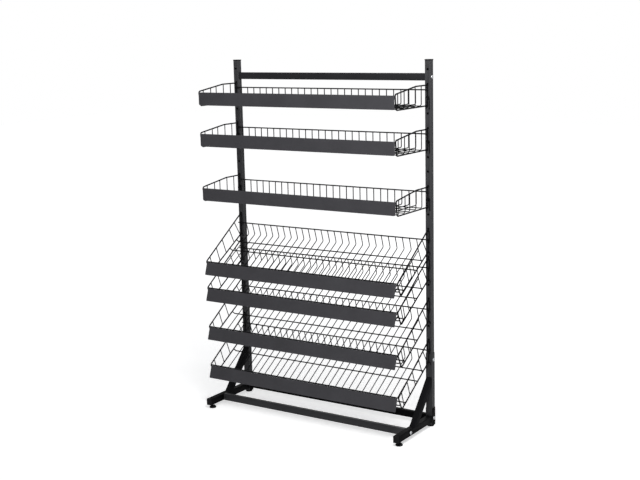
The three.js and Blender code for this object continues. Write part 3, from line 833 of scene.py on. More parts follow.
@dataclass
class Uprights:
    """The punched posts with their caps, shoes and heel plates."""

    looks: Finishes
    cap_lip: float = 1.2
    cap_height: float = 4.2
    cap_skirt: float = 16.0
    shoe_top: float = 328.0
    heel_top: float = 83.0

    def build(self) -> None:
        """Builds both sides."""
        inner = 2 * RACK.fit_gap + RACK.shoe_sheet
        for side in Side:
            self.post(side)
            self.cap(side)
            self.channel(side, "shoe", RACK.fit_gap, RACK.shoe_sheet, self.shoe_top)
            self.channel(side, "heel_plate", inner, RACK.heel_sheet, self.heel_top)

    def post(self, side: Side) -> Object:
        """Builds a post with round holes down its front and bolt holes across it.

        Args:
            side: Which post.

        Returns:
            The post.
        """
        x, half = side.value * RACK.post_x, RACK.post_half
        made = tube(
            RACK.post_side,
            RACK.post_side,
            lambda u, v, w: Vector((x + u, half + v, w)),
            lambda u, v: RACK.post_bottom,
            lambda u, v: RACK.post_top,
        )
        punches = [
            disc(Axis.BACK, 6.0, (x, 0.0, RACK.hole(i)), RACK.hole_diameter, sides=28)
            for i in range(RACK.hole_count)
        ]
        drills = [
            disc(Axis.ACROSS, RACK.post_side, (x, half, z), RACK.bolt_hole)
            for z in (RACK.top_rail_z, RACK.rear_rail_z)
        ]
        outside = (x + side.value * half, half, RACK.shoe_bolt_z)
        drills.append(disc(Axis.ACROSS, 6.0, outside, RACK.bolt_hole))
        holes = [merged(punches + drills)]
        piece = made.piece(f"post_tube_{side.label}", self.looks.steel, edge=0.25, holes=holes)
        return settle(piece, "frame", Slot.STEEL, f"post_{side.label}")

    def cap(self, side: Side) -> Object:
        """Builds a plastic cap: a lid with a soft edge and a skirt inside the tube.

        Args:
            side: Which post.

        Returns:
            The cap.
        """
        x, half = side.value * RACK.post_x, RACK.post_half
        bore = RACK.post_side - 2 * RACK.tube_wall - 2 * RACK.fit_gap
        wide = RACK.post_side + 2 * self.cap_lip
        # Width, corner radius and height of each ring, from the skirt's lower end.
        stack = [
            (bore - 2.0, 0.8, -self.cap_skirt),
            (bore, 1.2, -self.cap_skirt + 1.5),
            (bore, 1.2, 0.0),
            (wide - 0.3, 2.6, 0.0),
            (wide, 2.8, 0.3),
            (wide, 2.8, self.cap_height - 1.5),
            (wide - 0.8, 2.6, self.cap_height - 0.6),
            (wide - 2.8, 2.0, self.cap_height),
        ]
        made = boxes(
            [(w, w, r, z) for w, r, z in stack],
            lambda u, v, w: Vector((x + u, half + v, RACK.post_top + w)),
        )
        piece = made.piece(f"cap_{side.label}", self.looks.plastic)
        return settle(piece, "frame", Slot.PLASTIC, f"post_cap_{side.label}")

    def channel(self, side: Side, label: str, inner: float, sheet: float, top: float) -> Object:
        """Builds a folded channel round the outer, rear and inner side of a post.

        Args:
            side: Which post.
            label: The CAD node's first word.
            inner: Gap between the post and the channel.
            sheet: Thickness of its sheet.
            top: Height of its upper edge.

        Returns:
            The channel.
        """
        x, half = side.value * RACK.post_x, RACK.post_half
        wide, back = half + inner, RACK.post_side + inner
        faces = []
        for out in (0.0, sheet):
            w, b = wide + out, back + out
            path = [Vector((-w, 0, 0)), Vector((-w, b, 0)), Vector((w, b, 0)), Vector((w, 0, 0))]
            faces.append(rounded_line(path, RACK.corner + inner + out))
        outline = faces[0] + faces[1][::-1]
        made = Sketch()
        made.loft([[Vector((x + p.x, p.y, z)) for p in outline] for z in (top, RACK.post_bottom)])
        rail_bolt = (x, half, RACK.rear_rail_z)
        drills = [disc(Axis.ACROSS, 2 * RACK.post_side, rail_bolt, RACK.bolt_hole)]
        # Heel plates get the darkened coat with painted shade, and shoes keep the tube coat.
        paint = self.looks.base
        if top > RACK.shoe_bolt_z:
            outer_leg = (x + side.value * (wide + 4.0), half, RACK.shoe_bolt_z)
            drills.append(disc(Axis.ACROSS, 8.0, outer_leg, RACK.bolt_hole))
            paint = self.looks.steel
        piece = made.piece(f"{label}_sheet_{side.label}", paint, edge=0.3, holes=[merged(drills)])
        return settle(piece, "frame", Slot.STEEL, f"{label}_{side.label}")


@dataclass
class Base:
    """Feet, braces, cross rails and the plugs in the feet."""

    looks: Finishes
    brace_rise: float = 174.0
    brace_run: float = 154.0
    rail_height: float = 30.0
    rail_depth: float = 20.0
    plug_head: float = 3.0
    plug_shank: float = 16.0
    bead: float = 2.2
    ripple: float = 2.4

    def build(self) -> None:
        """Builds the base and the top rail, which is the same tube."""
        half = RACK.post_half
        span = RACK.post_x - half
        # The top rail gets the darkened rail coat with painted shade.
        self.rail("top_rail", half, RACK.top_rail_z, span, self.looks.rail)
        # The rear rail gets the darkened base coat with painted shade.
        self.rail("rear_rail", half, RACK.rear_rail_z, span - RACK.wrap, self.looks.base)
        self.rail("front_rail", RACK.front_rail_y, RACK.foot_mid, span, self.looks.steel)
        for side in Side:
            self.foot(side)
            self.plug(side)
            self.brace(side)

    def rail(
        self,
        name: str,
        y: float,
        z: float,
        reach: float,
        paint: Material,
    ) -> Object:
        """Builds a cross rail.

        Args:
            name: The CAD node.
            y: Its middle, from front to back.
            z: Its middle height.
            reach: Half its length.
            paint: Its finish.

        Returns:
            The rail.
        """
        made = tube(
            self.rail_depth,
            self.rail_height,
            lambda u, v, w: Vector((w, y - u, z + v)),
            lambda u, v: -reach,
            lambda u, v: reach,
        )
        piece = made.piece(f"{name}_tube", paint)
        return settle(piece, "frame", Slot.STEEL, name)

    def foot(self, side: Side) -> Object:
        """Builds a foot, drilled for the front rail's bolt and the glide's stud.

        Args:
            side: Which foot.

        Returns:
            The foot.
        """
        x, z = side.value * RACK.post_x, RACK.foot_mid
        made = tube(
            RACK.post_side,
            RACK.foot_height,
            lambda u, v, w: Vector((x + u, -w, z + v)),
            lambda u, v: 0.0,
            lambda u, v: RACK.foot_length,
        )
        drills = [
            disc(Axis.ACROSS, RACK.post_side, (x, RACK.front_rail_y, z), RACK.bolt_hole),
            disc(Axis.UP, 4.0, (x, RACK.front_glide_y, RACK.foot_bottom), RACK.bolt_hole),
        ]
        holes = [merged(drills)]
        # The foot gets the darkened base coat with painted shade.
        piece = made.piece(f"foot_tube_{side.label}", self.looks.base, edge=0.2, holes=holes)
        return settle(piece, "frame", Slot.STEEL, f"foot_{side.label}")

    def plug(self, side: Side) -> Object:
        """Builds the plastic plug in the front end of a foot.

        Args:
            side: Which foot.

        Returns:
            The plug.
        """
        x, z = side.value * RACK.post_x, RACK.foot_mid
        inside = 2 * (RACK.tube_wall + RACK.fit_gap)
        wide, tall = RACK.post_side, RACK.foot_height
        # Width, height, corner radius and place along, from the shank's inner end.
        rings = [
            (wide - inside - 1.5, tall - inside - 1.5, 0.8, -self.plug_shank),
            (wide - inside, tall - inside, 1.0, -self.plug_shank + 1.2),
            (wide - inside, tall - inside, 1.0, 0.0),
            (wide, tall, RACK.corner, 0.0),
            (wide, tall, RACK.corner, self.plug_head - 1.4),
            (wide - 0.9, tall - 0.9, 2.0, self.plug_head - 0.5),
            (wide - 3.0, tall - 3.0, 1.6, self.plug_head),
        ]
        made = boxes(rings, lambda u, v, w: Vector((x + u, -RACK.foot_length - w, z + v)))
        piece = made.piece(f"plug_{side.label}", self.looks.plastic)
        return settle(piece, "frame", Slot.PLASTIC, f"foot_plug_{side.label}")

    def brace(self, side: Side) -> Object:
        """Builds a brace, cut level on the foot and upright on the post, with its weld beads.

        Args:
            side: Which side of the rack.

        Returns:
            The brace.
        """
        x, half = side.value * RACK.post_x, RACK.post_half
        length = math.hypot(self.brace_rise, self.brace_run)
        along = Vector((0.0, self.brace_run, self.brace_rise)) / length
        normal = Vector((0.0, self.brace_rise, -self.brace_run)) / length
        foot = Vector((x, -self.brace_run, RACK.foot_top))

        def place(u: float, v: float, w: float) -> Vector:
            """Returns the point at (across, up, along) of the slanting tube."""
            return foot + Vector((u, 0, 0)) + normal * (half + v) + along * w

        def on_foot(u: float, v: float) -> float:
            """Returns how far along the tube its level cut is."""
            return -normal.z * (half + v) / along.z

        def on_post(u: float, v: float) -> float:
            """Returns how far along the tube its upright cut is."""
            return (self.brace_run - normal.y * (half + v)) / along.y

        made = tube(RACK.post_side, RACK.post_side, place, on_foot, on_post)
        outline = rounded_box(RACK.post_side, RACK.post_side, RACK.corner, steps=2)
        for end, lean in ((on_foot, Vector((0, 0, 0.7))), (on_post, Vector((0, -0.7, 0)))):
            seam = [place(u, v, end(u, v)) + lean for u, v in outline]
            inward = sum(seam, Vector()) / len(seam)
            drawn = [p + (inward - p).normalized() * 0.9 for p in seam]
            self.weld(made, drawn, x, half)
        # The brace gets the darkened base coat with painted shade.
        piece = made.piece(f"brace_tube_{side.label}", self.looks.base)
        return settle(piece, "frame", Slot.STEEL, f"brace_{side.label}")

    def weld(self, made: Sketch, seam: Sequence[Vector], x: float, half: float) -> None:
        """Runs a bead of small overlapping ripples along a seam.

        Args:
            made: The sketch that gets the bead.
            seam: Its corners, round the cut end of a tube.
            x: Middle of the tube.
            half: Half the tube's width, which the bead stays inside.
        """
        reach = half - self.bead / 2
        closed = list(seam) + [seam[0]]
        for a, b in zip(closed, closed[1:]):
            steps = max(1, round((b - a).length / self.ripple))
            for i in range(steps):
                at = a.lerp(b, i / steps)
                at.x = min(max(at.x, x - reach), x + reach)
                made.nugget(at, (self.bead / 2,) * 3, sides=6)


@dataclass
class Fasteners:
    """Zinc-plated bolts of the rails and the shoes."""

    looks: Finishes
    shank: float = 8.0
    head: float = 15.0
    head_height: float = 4.5
    socket: float = 5.0
    bite: float = 12.0

    def build(self) -> None:
        """Builds every bolt."""
        half = RACK.post_half
        plain = RACK.post_x + half
        shoe = plain + RACK.fit_gap + RACK.shoe_sheet
        heel = shoe + RACK.fit_gap + RACK.heel_sheet
        grip = RACK.post_side + self.bite
        for side in Side:
            self.bolt("top_rail_bolt", side, half, RACK.top_rail_z, plain, grip)
            self.bolt("front_rail_bolt", side, RACK.front_rail_y, RACK.foot_mid, plain, grip)
            self.bolt("rear_rail_bolt", side, half, RACK.rear_rail_z, heel, grip + heel - plain)
            self.bolt("shoe_bolt", side, half, RACK.shoe_bolt_z, shoe, self.bite + shoe - plain)

    def bolt(self, name: str, side: Side, y: float, z: float, face: float, reach: float) -> Object:
        """Builds a button-head bolt with a hexagon socket, seated on a washer face.

        Args:
            name: First words of the CAD node.
            side: Which side of the rack.
            y: Its axis, from front to back.
            z: Its axis height.
            face: Distance of the seat from the rack's middle line.
            reach: Length under the head.

        Returns:
            The bolt.
        """
        shank, head, socket = self.shank / 2, self.head / 2, self.socket / 2
        seat = face + RACK.fit_gap
        rise = self.head_height
        # Radius and distance from the rack's middle line, from the tip to the socket's floor.
        stack = [
            (shank - 0.6, face - reach),
            (shank, face - reach + 0.6),
            (shank, seat),
            (head - 0.2, seat),
            (head, seat + 0.2),
            (head, seat + 1.1),
            (head * 0.9, seat + rise * 0.55),
            (head * 0.72, seat + rise * 0.84),
            (head * 0.5, seat + rise),
            (socket + 0.2, seat + rise),
            (socket, seat + rise - 0.3),
            (socket, seat + rise - 2.4),
        ]
        socket_start = len(stack) - 3
        rings = []
        for i, (radius, out) in enumerate(stack):
            ring = []
            for turn in turns(24):
                r = hexagon(radius, turn) if i >= socket_start else radius
                u, v = r * math.cos(turn), side.value * r * math.sin(turn)
                ring.append(Vector((side.value * out, y + u, z + v)))
            rings.append(ring)
        made = Sketch()
        made.loft(rings)
        piece = made.piece(f"{name}_{side.label}_zinc", self.looks.zinc, smooth=32.0)
        return settle(piece, "frame", Slot.ZINC, f"{name}_{side.label}")


@dataclass
class Glides:
    """Levelling glides: moulded pads on threaded studs."""

    looks: Finishes
    diameter: float = 31.0
    rim: float = 5.7
    dome: float = 7.0
    neck: float = 18.0
    seat: float = 2.5
    stud: float = 8.0
    pitch: float = 1.25
    nut: float = 15.0
    tip_gap: float = 3.0
    insert: float = 18.0

    def build(self) -> None:
        """Builds the four glides."""
        front_top = RACK.foot_top - RACK.tube_wall - self.tip_gap
        for side in Side:
            self.glide(side, End.FRONT, front_top)
            self.glide(side, End.REAR, RACK.post_bottom + self.insert)

    def glide(self, side: Side, end: End, top: float) -> None:
        """Builds one pad and its stud; a front one has a neck and a lock nut.

        Args:
            side: Which side of the rack.
            end: Which end of the foot.
            top: Height of the stud's tip.
        """
        front = end is End.FRONT
        axis = (side.value * RACK.post_x, RACK.front_glide_y if front else RACK.post_half)
        name = f"{end.value}_{side.label}"
        pad_top = self.rim + (self.dome if front else 0.0)
        piece = self.pad(axis, pad_top).piece(f"pad_{name}", self.looks.plastic)
        settle(piece, f"glide_{name}", Slot.PLASTIC, f"glide_pad_{name}")
        parts = [self.thread(axis, top)]
        if front:
            nut_top = RACK.foot_bottom - RACK.fit_gap
            parts.append(self.lock_nut(axis, pad_top + RACK.fit_gap, nut_top))
        piece = merged(parts).piece(f"stud_{name}", self.looks.zinc)
        settle(piece, f"glide_{name}", Slot.ZINC, f"glide_stud_{name}")

    def pad(self, axis: Point, top: float) -> Sketch:
        """Builds a moulded pad with the socket of its stud.

        Args:
            axis: Its axis, across and from front to back.
            top: Height of its upper face, which a neck carries above the rim.

        Returns:
            The pad.
        """
        rim, neck, socket = self.diameter / 2, self.neck / 2, self.stud / 2 + RACK.fit_gap
        stack = [(rim - 3.0, 0.0), (rim - 1.2, 0.0), (rim - 0.4, 0.4), (rim, 1.2)]
        stack.append((rim, self.rim - 1.0))
        if top > self.rim:
            stack += [(rim - 0.5, self.rim - 0.2), (rim - 2.0, self.rim + 0.6)]
            stack += [(neck + 1.4, top - 2.2), (neck, top - 0.9), (neck - 0.9, top)]
        else:
            stack += [(rim - 0.4, self.rim - 0.3), (rim - 1.2, self.rim)]
        stack += [(socket, top), (socket, self.seat), (socket * 0.5, self.seat)]
        return turned(stack, axis, 36)

    def thread(self, axis: Point, top: float) -> Sketch:
        """Builds a threaded stud, with one ridge to each turn.

        Args:
            axis: Its axis, across and from front to back.
            top: Height of its tip.

        Returns:
            The stud.
        """
        crest = self.stud / 2
        start = self.seat + RACK.fit_gap
        level = start + 0.4
        stack = [(crest - 1.2, start)]
        while level < top - 1.2:
            stack += [(crest - 0.55, level), (crest, level + self.pitch * 0.45)]
            stack += [(crest, level + self.pitch * 0.6)]
            level += self.pitch
        stack += [(crest - 0.6, level), (crest - 1.2, top)]
        return turned(stack, axis, 20)

    def lock_nut(self, axis: Point, low: float, high: float) -> Sketch:
        """Builds a hexagon nut with chamfered faces.

        Args:
            axis: Its axis, across and from front to back.
            low: Its lower face.
            high: Its upper face.

        Returns:
            The nut.
        """
        made = Sketch()
        flat = self.nut / 2 * math.cos(math.pi / 6)
        face = flat * 0.97
        rings = []
        for share, z in ((0.0, low), (1.0, low + 0.7), (1.0, high - 0.7), (0.0, high)):
            ring = []
            for turn in turns(24):
                out = face + (hexagon(flat, turn) - face) * share
                ring.append(Vector((*axis, z)) + Vector((math.cos(turn), math.sin(turn), 0)) * out)
            rings.append(ring)
        made.loft(rings)
        return made


def turned(stack: Sequence[Point], axis: Point, sides: int) -> Sketch:
    """A turned solid about an upright axis.

    Args:
        stack: Radius and height of each ring, from the lowest.
        axis: The axis, across and from front to back.
        sides: Facets round it.

    Returns:
        The solid.
    """
    x, y = axis
    circle = [(math.cos(t), math.sin(t)) for t in turns(sides)]
    made = Sketch()
    made.loft([[Vector((x + r * u, y + r * v, z)) for u, v in circle] for r, z in stack])
    return made


@dataclass
class Shelf(ABC):
    """What trays and baskets share: wires, hooks, stirrups and a folded front plate."""

    looks: Finishes
    number: int
    hole: int
    kind: str = "shelf"
    tilt: float = 0.0
    frame_wire: float = 4.8
    front_wire: float = 4.4
    rail_wire: float = 4.4
    mesh_wire: float = 3.2
    hook_wire: float = 5.2
    weld_depth: float = 0.4
    weld_gap: float = 0.15
    cross_count: int = 27
    cross_pitch: float = 34.35
    hook_tip: float = 9.0
    hook_bend: float = 3.4
    stirrup_width: float = 17.0
    plate_height: float = 57.0
    plate_length: float = 972.0
    plate_sheet: float = 1.2
    plate_hem: float = 6.0
    plate_fold: float = 1.6
    plate_corner: float = 3.5

    @property
    @abstractmethod
    def plate_top(self) -> Point:
        """Upper edge of the plate, behind its sheet, in side view from the hole."""

    @abstractmethod
    def sides(self, made: Sketch) -> None:
        """Adds side frames, hooks and stirrups."""

    @abstractmethod
    def floor(self, made: Sketch) -> None:
        """Adds the long wires, the cross wires and the rails."""

    def half(self, diameter: float) -> float:
        """Half the flat of the CAD's four-sided wire, which sets the spacing of the wires."""
        return diameter / 2 * math.sqrt(math.pi / 4)

    def drawn(self, diameter: float) -> float:
        """Diameter of the round wire through the corners of the CAD's four-sided one."""
        return diameter * math.sqrt(math.pi / 2)

    @property
    def face_y(self) -> float:
        """Middle of the wires that lie on the face of the post."""
        return -(RACK.fit_gap + self.half(self.hook_wire))

    @property
    def stirrup_y(self) -> float:
        """Middle of the stirrups."""
        return -(2 * RACK.fit_gap + self.half(self.mesh_wire))

    @property
    def rail_y(self) -> float:
        """Middle of the back rail."""
        return self.face_y - self.half(self.hook_wire) - self.half(self.rail_wire) + self.weld_depth

    @property
    def hook_z(self) -> float:
        """Height of the hook wire in its hole."""
        edge = RACK.hole_diameter / 2 * math.cos(math.pi / 6)
        return self.half(self.hook_wire) + RACK.fit_gap - edge

    def cross_places(self) -> list[float]:
        """Places of the cross wires from side to side."""
        return [(i + 1) * self.cross_pitch - RACK.post_x for i in range(self.cross_count)]

    def profile(self, x: float, pairs: Iterable[Point]) -> list[Vector]:
        """Points of a side view at one place across."""
        return [Vector((x, y, z)) for y, z in pairs]

    def across(self, reach: float, place: Point) -> list[Vector]:
        """Ends of a straight line from side to side at one place in side view."""
        return [Vector((-reach, *place)), Vector((reach, *place))]

    def weld(
        self,
        made: Sketch,
        x: float,
        places: Iterable[Point],
        size: Sequence[float],
        sides: int = 8,
    ) -> None:
        """Adds the swelling of a spot weld at each place of a side view.

        Args:
            made: The sketch of the wires.
            x: Place across.
            places: The welds in side view.
            size: Half a weld's width along X, Y and Z.
            sides: Facets round it.
        """
        for y, z in places:
            made.nugget((x, y, z), size, sides)

    def hook(self, made: Sketch, x: float, foot: float) -> None:
        """Adds a hook: up inside the post, out through its hole and down its face.

        Args:
            made: The sketch of the wires.
            x: Place across.
            foot: How far down the wire runs.
        """
        inside = RACK.tube_wall + RACK.fit_gap + self.half(self.hook_wire)
        pairs = [
            (inside, self.hook_z + self.hook_tip),
            (inside, self.hook_z),
            (self.face_y, self.hook_z),
            (self.face_y, -foot),
        ]
        made.wire(self.profile(x, pairs), self.hook_wire, bend=self.hook_bend, sides=12)

    def stirrup(self, made: Sketch, x: float, drop: float, length: float) -> None:
        """Adds the upside-down U that rests on the post.

        Args:
            made: The sketch of the wires.
            x: Place across.
            drop: Depth of its crown below the hole.
            length: Length of its legs.
        """
        half = self.stirrup_width / 2
        corners = [(-half, drop + length), (-half, drop), (half, drop), (half, drop + length)]
        points = [Vector((x + u, self.stirrup_y, -fall)) for u, fall in corners]
        made.wire(points, self.drawn(self.mesh_wire), bend=5.5)

    def shift(self, made: Sketch) -> Sketch:
        """Moves a sketch drawn from its hole to that hole's height.

        Args:
            made: The sketch of the wires.

        Returns:
            The same sketch.
        """
        for p in made.points:
            p.z += RACK.hole(self.hole)
        return made

    def build(self) -> None:
        """Builds the wires and the plate."""
        name = f"{self.kind}_{self.number}"
        made = Sketch()
        self.sides(made)
        self.floor(made)
        grid = self.shift(made).piece(f"{name}_grid", self.looks.wire, smooth=50.0)
        settle(grid, name, Slot.STEEL, f"{name}_wires")
        settle(self.plate(f"{name}_front"), name, Slot.STEEL, f"{name}_plate")

    def plate(self, name: str) -> Object:
        """Builds a front plate of one folded sheet, with rounded lower corners and a hem behind.

        Args:
            name: Name of the new piece.

        Returns:
            The plate.
        """
        length, height, top = self.plate_length, self.plate_height, self.plate_top
        sheet, hem, round_off = self.plate_sheet, self.plate_hem, self.plate_corner
        bend = self.plate_fold
        profile: list[tuple[float, float, float]] = []
        corner_start = height - round_off

        def reach_at(drop: float) -> float:
            """Returns half the plate's length at a drop below its upper edge."""
            into = min(max((drop - corner_start) / round_off, 0.0), 1.0)
            return length / 2 - round_off * (1 - math.sqrt(1 - into * into))

        for z in (0.0, 1.2, height * 0.33, height * 0.66):
            profile.append((0.0, z, length / 2 - (1.2 - z if z < 1.2 else 0.0)))
        for k in range(8):
            drop = corner_start + round_off * math.sin(math.pi / 2 * k / 8)
            if drop < height - bend:
                profile.append((0.0, drop, reach_at(drop)))
        for k in range(5):
            turn = math.pi / 2 * k / 4
            drop = height - bend + bend * math.sin(turn)
            profile.append((bend * (1 - math.cos(turn)), drop, reach_at(drop)))
        last = length / 2 - round_off
        profile.append((hem - 0.6, height, last))
        profile.append((hem, height, last - 0.5))
        lean = math.radians(self.tilt)

        def at(x: float, back: float, drop: float) -> Vector:
            """Leans a point of the flat sheet with the plate's face.

            Args:
                x: Place across.
                back: How far behind the face.
                drop: How far below the upper edge.

            Returns:
                The point.
            """
            u, v = back - sheet, -drop
            y = top[0] + u * math.cos(lean) + v * math.sin(lean)
            z = RACK.hole(self.hole) + top[1] - u * math.sin(lean) + v * math.cos(lean)
            return Vector((x, y, z))

        front, rear = [], []
        inner = length / 2 - 12.0
        # Each row of the sheet has a front and a rear line, square to the folded profile.
        for i, (back, drop, reach) in enumerate(profile):
            before = profile[max(i - 1, 0)]
            after = profile[min(i + 1, len(profile) - 1)]
            run, fall = after[0] - before[0], after[1] - before[1]
            size = math.hypot(run, fall)
            inward = (fall / size * sheet, -run / size * sheet)
            columns = [-reach, -inner, -inner / 3, inner / 3, inner, reach]
            front.append([at(x, back, drop) for x in columns])
            rear.append([at(x, back + inward[0], drop + inward[1]) for x in columns])
        made = Sketch()
        rows = [made.ring(a + list(reversed(b))) for a, b in zip(front, rear)]
        for a, b in zip(rows, rows[1:]):
            made.bridge(b, a)
        made.cap(rows[0])
        made.cap(rows[-1], flip=True)
        return made.piece(name, self.looks.plate, smooth=40.0, edge=0.22)


@dataclass
class Tray(Shelf):
    """A level tray: an open wire box with a plate along its front."""

    kind: str = "tray"
    depth: float = 270.0
    side_drop: float = 4.0
    kink: float = 100.0
    front_drop: float = 26.0
    edge_drop: float = 32.5
    bottom_drop: float = 88.0
    cross_wire: float = 3.5
    floor_drop: float = 86.0
    lean: float = 8.0
    rail_drop: float = 23.0
    long_wires: tuple[float, ...] = (49.0, 100.0, 152.0, 191.0, 243.0)
    side_weld: Triple = (3.0, 3.0, 3.2)
    end_weld: Triple = (2.4, 2.1, 2.4)
    rail_weld: Triple = (2.2, 2.4, 2.4)
    edge_weld: Triple = (2.2, 2.2, 2.4)
    cross_weld: Triple = (1.9, 1.9, 2.0)
    plate_height: float = 56.5
    plate_length: float = 978.0
    plate_drop: float = 29.5
    plate_corner: float = 8.0
    stirrup_drop: float = 51.0
    stirrup_length: float = 52.0

    @property
    def plate_top(self) -> Point:
        """Upper edge of the plate, behind its sheet, in side view from the hole."""
        return -self.depth - self.half(self.frame_wire) - RACK.fit_gap, -self.plate_drop

    def sides(self, made: Sketch) -> None:
        """Adds side frames, hooks and stirrups.

        Args:
            made: The sketch of the wires.
        """
        front = -self.depth + self.lean
        for side in Side:
            x = side.value * RACK.post_x
            pairs = [
                (self.face_y, -self.side_drop),
                (-self.kink, -self.side_drop),
                (-self.depth, -self.front_drop),
                (front, -self.bottom_drop),
                (self.face_y, -self.bottom_drop),
            ]
            made.wire(self.profile(x, pairs), self.drawn(self.frame_wire), bend=9.0, sides=12)
            self.hook(made, x, self.bottom_drop + self.frame_wire)
            self.stirrup(made, x, self.stirrup_drop, self.stirrup_length)
            drops = (self.side_drop, self.bottom_drop, self.stirrup_drop)
            self.weld(made, x, [(self.face_y, -drop) for drop in drops], self.side_weld)

    def floor(self, made: Sketch) -> None:
        """Adds the long wires, the bent cross wires and the rails, with their welds.

        Args:
            made: The sketch of the wires.
        """
        mesh = self.half(self.mesh_wire)
        inner = RACK.post_x - self.half(self.frame_wire) - mesh + self.weld_depth
        front = -self.depth + self.lean
        over = -self.floor_drop + 2 * mesh + self.weld_gap
        slope = (self.front_drop - self.side_drop) / (self.depth - self.kink)
        for reach in self.long_wires:
            top = -self.side_drop - max(0.0, reach - self.kink) * slope
            low = -self.floor_drop
            corners = [(-inner, top), (-inner, low), (inner, low), (inner, top)]
            line = [Vector((x, -reach, z)) for x, z in corners]
            made.wire(line, self.drawn(self.mesh_wire), bend=9.0)
            for x in (-inner - 1.0, inner + 1.0):
                self.weld(made, x, [(-reach, top), (-reach, -self.bottom_drop)], self.end_weld)
        back, edge = (self.rail_y, -self.rail_drop), (-self.depth, -self.edge_drop)
        rail = self.across(RACK.post_x + self.hook_wire, back)
        made.wire(rail, self.drawn(self.rail_wire), sides=12)
        made.wire(self.across(RACK.post_x, edge), self.front_wire, sides=12)
        pairs = [back, (self.rail_y, over), (front + mesh, over), edge]
        crossings = [(-reach, over - mesh) for reach in self.long_wires]
        for x in self.cross_places():
            made.wire(self.profile(x, pairs), self.drawn(self.cross_wire), bend=8.0, sides=8)
            self.weld(made, x, [back], self.rail_weld)
            self.weld(made, x, [edge], self.edge_weld)
            self.weld(made, x, crossings, self.cross_weld, sides=6)


